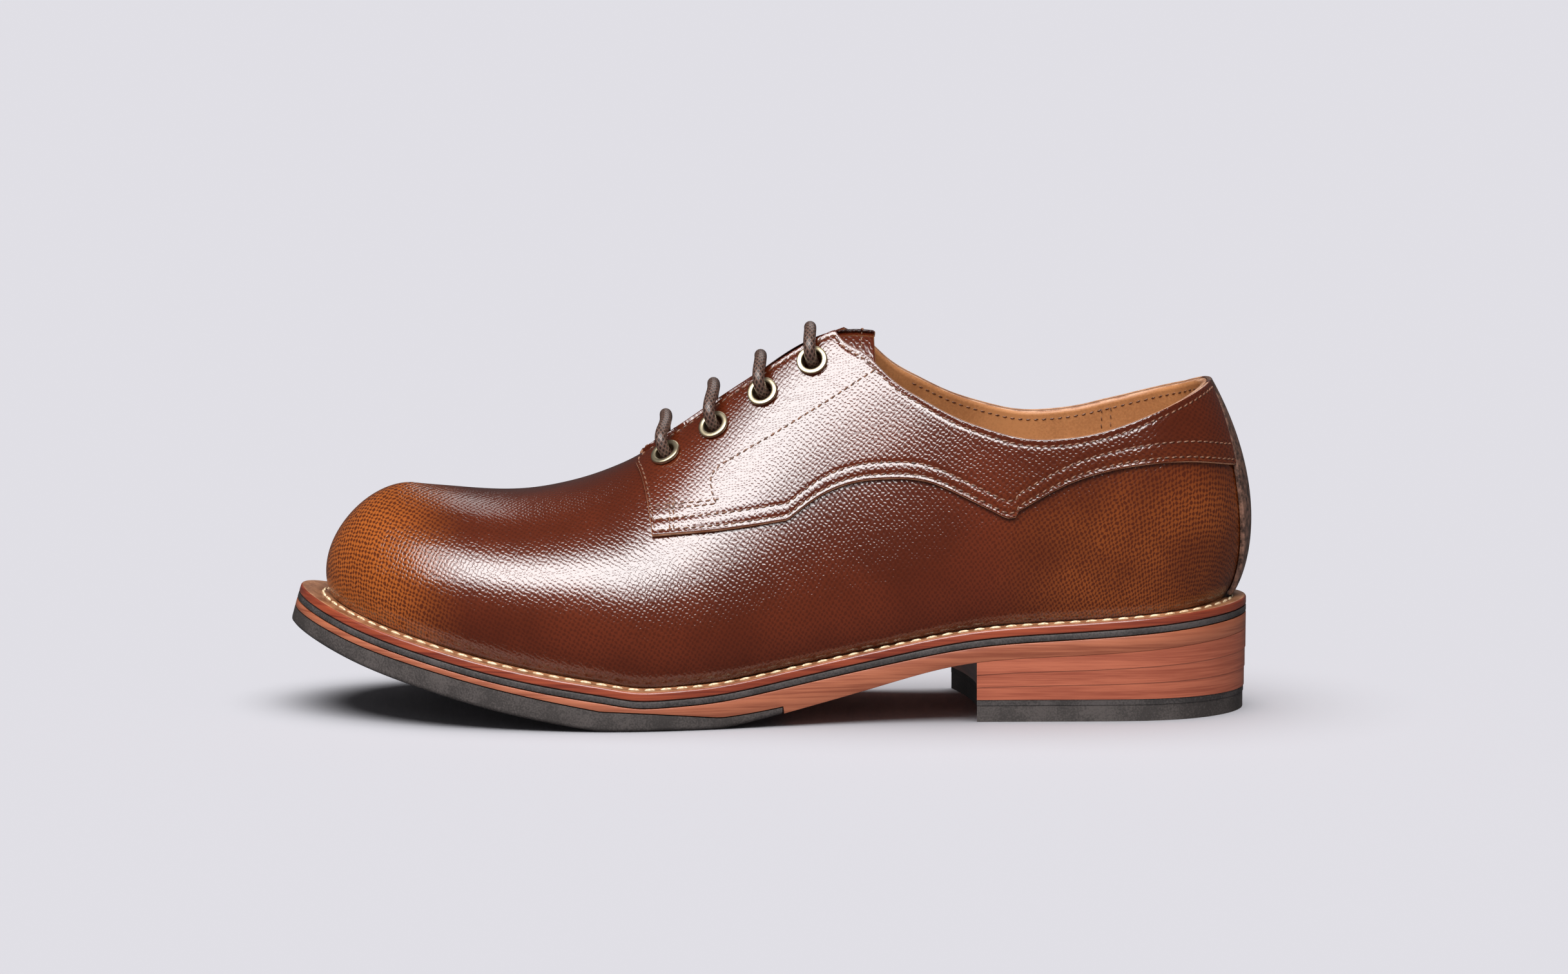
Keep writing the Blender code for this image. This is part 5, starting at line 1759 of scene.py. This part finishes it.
@dataclass
class Uppers:
    """The pieces laid over the upper: quarters, back strip, tongue, and all the stitching."""

    last: Last
    finishes: Finishes
    chart: Chart
    columns: tuple[int, int, int] = (44, 64, 70)
    middle_rows: int = 26
    low_band: float = 0.0078
    top_band: float = 0.0042
    fine_step: float = 0.00042
    first_step: float = 0.00062
    pull: float = 0.00016
    pull_width: float = 0.00075
    throat_reach: float = 0.009
    edge_inset: float = 0.0016
    throat_inset: float = 0.0018
    collar_inset: float = 0.0022
    stitch_sink: float = 0.7
    foot_spare: float = 0.002
    corner_spare: float = 0.0015
    tongue_runs: list = field(default_factory=list)
    maps: dict[Side, QuarterMap] = field(default_factory=dict)
    tongue_width: float = 0.040
    tongue_root_width: float = 0.0317
    tongue_spread: float = 0.6
    tongue_front: float = 0.200
    tongue_back: float = 0.1195
    tongue_thick: float = 0.0018
    tongue_sag: float = 0.0088
    tongue_curl: float = 0.0022
    tongue_clear: float = 0.0010
    tongue_free: float = 0.52
    tongue_level: float = 0.95
    tongue_corner: float = 0.006

    def row_places(self, quarter: QuarterMap) -> tuple[Array, Array, Array]:
        """Distances of the low, high and top stitch rows from the lower edge, for each column."""
        spread = np.interp(quarter.share, *zip(*ROW_SPREAD))
        whole = quarter.lengths[-1]
        inset = np.where(np.arange(len(whole)) < quarter.corner, self.throat_inset, self.collar_inset)
        return self.edge_inset + 0 * whole, self.edge_inset + spread, whole - inset

    def build_quarter(self, side: Side) -> Object:
        """One quarter with its facing, pulled in along its rows of stitches."""
        last = self.last
        word = side.name.lower()
        quarter = QuarterMap(last, side, self.columns, last.overlay_gap)
        self.maps[side] = quarter
        whole = quarter.lengths[-1][None, :]
        low = np.concatenate([[0.0], np.arange(self.first_step, self.low_band, self.fine_step)])[:, None]
        top = np.arange(self.top_band, self.first_step, -self.fine_step)
        top = np.concatenate([top, [0.0]])[:, None]
        middle = np.linspace(0, 1, self.middle_rows + 2)[1:-1, None]
        low_end, top_start = low[-1], whole - top[0]
        distance = np.concatenate([low + 0 * whole, low_end + (top_start - low_end) * middle, whole - top])
        angle, rise = quarter.at(distance)
        relief = 0 * distance
        for place in self.row_places(quarter):
            relief -= self.pull * np.exp(-(((distance - place[None, :]) / self.pull_width) ** 2))
        base = last.over(angle, rise, last.overlay_gap)
        places = self.chart.places(np.mod(angle, 2 * math.pi), rise)
        mesh = panel(
            f"quarter_{word}_panel",
            base,
            last.normal(angle, rise),
            places,
            last.quarter_thick,
            Edging(),
            relief,
        )
        for face in mesh.polygons:
            x, y, _ = face.center
            if face.material_index == 1 and abs(y - float(last.ridge_y(x))) < self.throat_reach:
                face.material_index = 0
        finishes = [self.finishes.upper, self.finishes.raw_edge, self.finishes.lining]
        return Piece.add(f"quarter_{word}_panel", mesh, finishes, [f"quarter_{word}"], Slot.UPPER)

    def build_strip(self) -> None:
        """The strip over the back seam."""
        last = self.last
        share = np.linspace(0, 1, 61)[:, None]
        seam = np.array([0.0])
        low, top = last.rise_over_welt(seam, last.strip_thick), last.top_rise(seam)
        edge = last.strip_angle(Side.OUTER, low + (top - low) * share, share)
        angle = edge * np.linspace(1, -1, 25)[None, :]
        low = last.rise_over_welt(angle, last.strip_thick)
        rise = low + (last.top_rise(angle) - low) * share
        base = last.over(angle, rise, last.gap)
        places = self.chart.places(angle, rise)
        normals = last.normal(angle, rise)
        mesh = panel("back_strip_panel", base, normals, places, last.strip_thick, Edging(0.0006))
        mesh.polygons.foreach_set("material_index", np.zeros(len(mesh.polygons), np.int32))
        finishes = [self.finishes.strip]
        Piece.add("back_strip_panel", mesh, finishes, ["back_strip"], Slot.STRIP)

    def build_tongue(self) -> None:
        """The tongue, an arched strip under the throat that shows above the facings."""
        last = self.last
        share = np.linspace(0, 1, 61)[:, None]
        across = np.linspace(-1, 1, 41)[None, :]
        x = last.heel_end - (self.tongue_front + (self.tongue_back - self.tongue_front) * share) + 0 * across
        free = np.clip((share - self.tongue_free) / (1 - self.tongue_free), 0, 1)
        root = self.tongue_root_width
        half = (root + (self.tongue_width - root) * smooth_step(share / self.tongue_spread)) / 2
        ridge = last.ridge_y(x)
        reach = np.abs(across) * half
        sides = []
        for side in Side:
            angle = last.angle_at(side, x, self.tongue_level)
            rise = last.rise_where(angle, lambda points: np.abs(points[..., 1] - ridge) < reach)
            rise = np.minimum(rise, 0.9995)
            sides.append(last.over(angle, rise, -last.upper_thick - self.tongue_clear - self.tongue_thick))
        base = np.where(across[..., None] > 0, sides[1], sides[0])
        middle = base.shape[1] // 2
        base[:, middle, 1] = ridge[:, middle]
        base[..., 2] -= (self.tongue_sag + self.tongue_curl * across**2) * free**2
        base[..., 0] += self.tongue_corner * free * across**2
        du = np.gradient(base, axis=0)
        dv = np.gradient(base, axis=1)
        normals = unit(np.cross(dv, du))
        normals *= np.sign(normals[..., 2:3])
        places = np.stack([x, across * half + self.tongue_width], axis=-1)
        mesh = panel("tongue_panel", base, normals, places, self.tongue_thick, Edging(0.0006))
        finishes = [self.finishes.upper, self.finishes.raw_edge, self.finishes.lining]
        Piece.add("tongue_panel", mesh, finishes, ["tongue"], Slot.UPPER)
        top = base + normals * self.tongue_thick
        rim, first = 3, 24
        line, over = (
            np.concatenate([a[first:-rim, rim], a[-rim - 1, rim:-rim], a[first:-rim, -rim - 1][::-1]])
            for a in (top, normals)
        )
        self.tongue_runs.append((line, over))

    def on_face(self, angle: Array, rise: Array, height: float) -> tuple[Array, Array]:
        """Points and normals on a face that stands a height over the skin."""
        return self.last.over(angle, rise, height), self.last.normal(angle, rise)

    def build_stitches(self) -> None:
        """Every row of stitches on the quarters, the facings, the collar and the tongue."""
        last = self.last
        face = last.overlay_gap + last.quarter_thick
        runs: list[tuple[Array, Array]] = []
        for side in Side:
            quarter = self.maps[side]
            last_column = quarter.angle.shape[1] - 1
            for place in self.row_places(quarter):
                angle, rise = quarter.at(place[None, :])
                inside = slice(2, last_column)
                height = face - self.pull * self.stitch_sink
                runs.append(self.on_face(angle[0, inside], rise[0, inside], height))
            run = quarter.lengths[:, 1]
            front = (run > self.foot_spare) & (run < run[-1] - self.corner_spare)
            runs.append(self.on_face(quarter.angle[front, 1], quarter.rise[front, 1], face))
            for seam in (FACING_SEAM, *SEAM_TAILS, *FRONT_TACKS):
                runs.append(self.seam_run(side, seam, face))
        mesh = Thread().lay(runs, "upper_stitches")
        Piece.add("upper_stitches", mesh, [self.finishes.brown_thread])
        tongue = Thread().lay(self.tongue_runs, "tongue_stitches")
        Piece.add("tongue_stitches", tongue, [self.finishes.brown_thread])

    def seam_run(self, side: Side, rows: Rows, height: float) -> tuple[Array, Array]:
        """A run through rows of (share of the length, height over the welt)."""
        last = self.last
        rows = np.array(rows)
        lengths = lengths_of(rows * [last.length, last.instep_height])
        at = np.linspace(0, lengths[-1], max(6, int(lengths[-1] / 0.002)))
        share = np.interp(at, lengths, rows[:, 0])
        level = np.interp(at, lengths, rows[:, 1]) * last.instep_height
        x = last.x_of(share)
        angle = last.angle_at(side, x, 0.5)
        for _ in range(6):
            rise = last.rise_over_welt(angle, level - last.gap)
            angle = last.angle_at(side, x, rise)
        return self.on_face(angle, rise, height)

    def build_lining_stitches(self) -> None:
        """The stitches inside the collar: a row under the topline and the lining's back seams."""
        last = self.last
        inside = -last.upper_thick - 0.0001
        runs = []
        for side in Side:
            sign = -side.value
            turn = np.linspace(0.12, 0.995 * abs(float(last.angle_at(side, 0.043, 0.8))), 160)
            top = last.top_rise(sign * turn)
            points = last.skin(sign * turn, top)
            rise = last.rise_where(sign * turn, lambda at: at[..., 2] > points[..., 2] - 0.0024)
            runs.append(self.inner(sign * turn, rise, inside))
            for x in (0.1065, 0.1095):
                level = np.linspace(0.30, 0.97, 40)
                angle = last.angle_at(side, x, 0.6) + 0 * level
                for _ in range(4):
                    top = last.top_rise(angle)
                    angle = last.angle_at(side, x + 0 * level, level * top)
                runs.append(self.inner(angle, level * last.top_rise(angle), inside))
        mesh = Thread(radius=0.00017, length=0.0015, pitch=0.0026).lay(runs, "lining_stitches")
        Piece.add("lining_stitches", mesh, [self.finishes.brown_thread])

    def inner(self, angle: Array, rise: Array, height: float) -> tuple[Array, Array]:
        """Points on the inner face with normals into the shoe."""
        points, normals = self.on_face(angle, rise, height)
        return points, -normals

    def build(self, upper: Object) -> None:
        """Builds the pieces and cuts the eyelets' holes.

        Args:
            upper: the upper's wall, which the holes go through too.
        """
        quarters = {side: self.build_quarter(side) for side in Side}
        self.build_strip()
        self.build_tongue()
        self.build_stitches()
        self.build_lining_stitches()
        for side, quarter in quarters.items():
            Eyelets(self.last, self.finishes).pierce(side, (upper, quarter))


@dataclass
class Eyelets:
    """The eyelets and the holes for them."""

    last: Last
    finishes: Finishes
    hole: float = 0.0031
    wall: float = 0.0004
    flange: float = 0.0049
    height: float = 0.0011
    sides: int = 48
    hole_spare: float = 0.0002

    def pierce(self, side: Side, pieces: Sequence[Object]) -> None:
        """Cuts the holes of one side through the pieces."""
        work = bmesh.new()
        deep = self.last.quarter_thick + self.last.gap + self.last.upper_thick
        for number in range(self.last.eyelets_a_side):
            centre, normal = self.last.eyelet_seat(side, number)
            turn = normal.to_track_quat("Z", "Y").to_matrix().to_4x4()
            bmesh.ops.create_cone(
                work,
                cap_ends=True,
                segments=self.sides,
                radius1=self.hole + self.wall + self.hole_spare,
                radius2=self.hole + self.wall + self.hole_spare,
                depth=5 * deep,
                matrix=Matrix.Translation(centre) @ turn,
            )
        mesh = bpy.data.meshes.new("holes")
        work.to_mesh(mesh)
        work.free()
        cutter = bpy.data.objects.new("holes", mesh)
        bpy.context.scene.collection.objects.link(cutter)
        for piece in pieces:
            modifier = piece.modifiers.new("holes", "BOOLEAN")
            modifier.operation = "DIFFERENCE"
            modifier.object = cutter
            settle(piece)
        bpy.data.objects.remove(cutter)

    def profile(self) -> list[tuple[float, float]]:
        """(radius, height) points of the ring: a rolled flange and a barrel."""
        low = self.last.gap
        depth = self.last.quarter_thick + self.last.gap + self.last.upper_thick
        outer = self.hole + self.wall
        middle, reach = (self.hole + self.flange) / 2, (self.flange - self.hole) / 2
        points = [(self.hole, low), (self.hole, -depth), (outer, -depth), (outer, low)]
        points.append((self.flange - 0.0001, low))
        for k in range(13):
            turn = math.pi * k / 12
            lift = low + 0.25 * self.height + 0.75 * self.height * math.sin(turn) ** 0.45
            if k in (0, 12):
                lift = low + 0.2 * self.height
            points.append((middle + reach * math.cos(turn), lift))
        return points

    def build(self) -> None:
        """The rings, seated on the facings."""
        profile = self.profile()
        count = len(profile)
        for side in Side:
            for number in range(self.last.eyelets_a_side):
                name = f"eyelet_{side.name.lower()}_{number + 1}"
                centre, normal = self.last.eyelet_seat(side, number)
                turn = np.array(normal.to_track_quat("Z", "Y").to_matrix())
                points = []
                for s in range(self.sides):
                    angle = 2 * math.pi * s / self.sides
                    points += [(r * math.cos(angle), r * math.sin(angle), h) for r, h in profile]
                placed = np.array(points) @ turn.T + np.array(centre)
                faces = []
                for s in range(self.sides):
                    t = (s + 1) % self.sides
                    for i in range(count):
                        j = (i + 1) % count
                        faces.append((s * count + i, t * count + i, t * count + j, s * count + j))
                mesh = new_mesh(f"{name}_ring", placed, faces)
                clean(mesh)
                Piece.add(f"{name}_ring", mesh, [self.finishes.brass], [name], Slot.BRASS, 50.0)


@dataclass
class Laces:
    """The lace's bars, run through the eyelets."""

    last: Last
    finishes: Finishes
    radius: float = 0.0019
    tail: float = 0.0008
    lift: float = 0.0006
    crown: float = 0.0008
    lean: float = 0.14
    level: float = 0.95
    flange: float = 0.0011
    sides: int = 24
    step: float = 0.0004

    def route(self, number: int) -> list[Vector]:
        """Points of one bar: out of the outer eyelet, over the throat, into the inner one."""
        last = self.last
        arch, shift = LACE_BARS[number]
        depth = last.quarter_thick + last.gap + last.upper_thick - self.tail
        over = self.radius + last.gap + self.flange
        clear = last.gap + last.quarter_thick + last.gap + self.radius + self.lift
        ends = []
        for side in Side:
            centre, normal = last.eyelet_seat(side, number)
            angle = last.angle_at(side, np.array([centre.x]), self.level)
            edge = Vector(last.over(angle, last.throat_rise(angle), clear)[0]) + Vector((shift, 0, arch))
            ends.append(
                [
                    centre - normal * depth,
                    centre + normal * self.lift,
                    centre + normal * over + (edge - centre) * self.lean,
                    edge,
                ]
            )
        middle = (ends[0][-1] + ends[1][-1]) / 2 + Vector((0, 0, self.crown + arch * 0.4))
        return ends[0] + [middle] + ends[1][::-1]

    def build(self) -> None:
        """One round cord for each pair of eyelets."""
        for number in range(self.last.eyelets_a_side):
            route = self.route(number)
            lengths = lengths_of(np.array(route))
            axes = [Spline([(s, p[i]) for s, p in zip(lengths, route)]) for i in range(3)]
            at = np.linspace(0, lengths[-1], int(lengths[-1] / self.step))
            line = np.stack([axis(at) for axis in axes], axis=-1)
            along = unit(np.gradient(line, axis=0))
            side = unit(np.cross(along, [1.0, 0.0, 0.0]))
            up = np.cross(side, along)
            turn = np.linspace(0, 2 * math.pi, self.sides + 1)
            ring = side[:, None, :] * np.cos(turn)[None, :, None]
            ring = ring + up[:, None, :] * np.sin(turn)[None, :, None]
            length = lengths_of(line)
            points = line[:, None, :] + ring * self.radius
            places = np.stack(np.broadcast_arrays(length[:, None], turn[None, :] / (2 * math.pi)), axis=-1)
            columns = self.sides + 1
            faces = grid_faces(len(line), columns)
            faces.append(tuple(range(self.sides)))
            faces.append(tuple((len(line) - 1) * columns + k for k in range(self.sides))[::-1])
            name = f"lace_{number + 1}"
            mesh = new_mesh(name, points, faces, places)
            clean(mesh)
            Piece.add(name, mesh, [self.finishes.lace], [f"lace_bar_{number + 1}"], Slot.LACE)


@dataclass
class Studio:
    """Floor, soft light and camera."""

    distance: float = 1.600
    height: float = 0.268
    middle: float = 0.0044
    tilt: float = 7.07
    focal_pixels: float = 7899.0
    image_width: float = 2433.0
    sensor: float = 36.0
    floor_half: float = 20.0
    overhead_spread: float = 70.0
    overhead_energy: float = 2.75
    floor_colour: Colour = (0.80, 0.79, 0.84, 1.0)
    sky_colour: Colour = (0.745, 0.738, 0.784, 1.0)
    room_colour: Colour = (0.06, 0.06, 0.062, 1.0)

    def build_floor(self) -> Object:
        """A plain pale floor."""
        mesh = bpy.data.meshes.new("floor")
        size = self.floor_half
        corners = [(-size, -size, 0), (size, -size, 0), (size, size, 0), (-size, size, 0)]
        mesh.from_pydata(corners, [], [(0, 1, 2, 3)])
        floor = bpy.data.objects.new("floor", mesh)
        bpy.context.scene.collection.objects.link(floor)
        paper = Nodes("floor_paper")
        finish = paper.finish(Base_Color=self.floor_colour, Roughness=0.9, Specular_IOR_Level=0.0)
        mesh.materials.append(finish)
        floor.visible_glossy = False
        floor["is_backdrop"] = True
        return floor

    def softbox(
        self,
        name: str,
        azimuth: float,
        elevation: float,
        distance: float,
        size: tuple[float, float],
        glow: float,
    ) -> Object:
        """A rectangular soft light that looks at the shoe.

        Args:
            name: its name.
            azimuth: degrees from the camera's side towards the heel.
            elevation: degrees above the floor.
            distance: metres from the shoe.
            size: its width and height.
            glow: its radiance, where a white wall in full light has 1.

        Returns:
            The light.
        """
        light = bpy.data.lights.new(name, "AREA")
        light.shape = "RECTANGLE"
        light.size, light.size_y = size
        light.energy = glow * math.pi * size[0] * size[1]
        obj = bpy.data.objects.new(name, light)
        a, e = math.radians(azimuth), math.radians(elevation)
        way = Vector((math.sin(a) * math.cos(e), -math.cos(a) * math.cos(e), math.sin(e)))
        obj.location = way * distance + Vector((0, 0, 0.05))
        obj.rotation_euler = way.to_track_quat("Z", "Y").to_euler()
        bpy.context.scene.collection.objects.link(obj)
        return obj

    def build_lights(self, floor: Object) -> None:
        """A large soft key, a weaker light behind, and light from above for the floor alone."""
        shoe = bpy.data.collections.new("lit_shoe")
        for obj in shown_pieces():
            shoe.objects.link(obj)
        ground = bpy.data.collections.new("lit_floor")
        ground.objects.link(floor)
        for row in SOFTBOXES:
            self.softbox(*row).light_linking.receiver_collection = shoe
        lamp = bpy.data.lights.new("overhead", "SUN")
        lamp.angle = math.radians(self.overhead_spread)
        lamp.energy = self.overhead_energy
        sun = bpy.data.objects.new("overhead", lamp)
        bpy.context.scene.collection.objects.link(sun)
        sun.light_linking.receiver_collection = ground
        bpy.context.scene.view_settings.view_transform = "Standard"

    def build_world(self) -> None:
        """A pale wall for the eye, and a dim room for the shoe to mirror."""
        world = bpy.data.worlds.new("studio")
        bpy.context.scene.world = world
        world.use_nodes = True
        tree = world.node_tree
        background = tree.nodes["Background"]
        seen = tree.nodes.new("ShaderNodeLightPath").outputs["Is Camera Ray"]
        mix = tree.nodes.new("ShaderNodeMix")
        mix.data_type = "RGBA"
        tree.links.new(seen, mix.inputs[0])
        mix.inputs[6].default_value = self.room_colour
        mix.inputs[7].default_value = self.sky_colour
        tree.links.new(mix.outputs[2], background.inputs["Color"])

    def build_camera(self) -> None:
        """The camera at the photograph's viewing angle."""
        camera = bpy.data.cameras.new("camera")
        camera.sensor_width = self.sensor
        camera.lens = self.focal_pixels / self.image_width * self.sensor
        obj = bpy.data.objects.new("camera", camera)
        obj.location = (self.middle, -self.distance, self.height)
        obj.rotation_euler = (math.radians(90 - self.tilt), 0, 0)
        bpy.context.scene.collection.objects.link(obj)
        bpy.context.scene.camera = obj

    def build(self) -> None:
        """Builds the studio round the finished shoe."""
        self.build_lights(self.build_floor())
        self.build_world()
        self.build_camera()


def main() -> None:
    """Builds the shoe's looks in order, and the studio round it."""
    logging.basicConfig(level=logging.INFO, format="%(name)s: %(message)s")
    last = Last()
    finishes = Finishes()
    SoleUnit(last, finishes).build()
    shell = UpperShell(last, finishes)
    upper = shell.build_upper()
    shell.build_insole()
    Uppers(last, finishes, Chart(last)).build(upper)
    Eyelets(last, finishes).build()
    Laces(last, finishes).build()
    Studio().build()


if __name__ == "__main__":
    main()
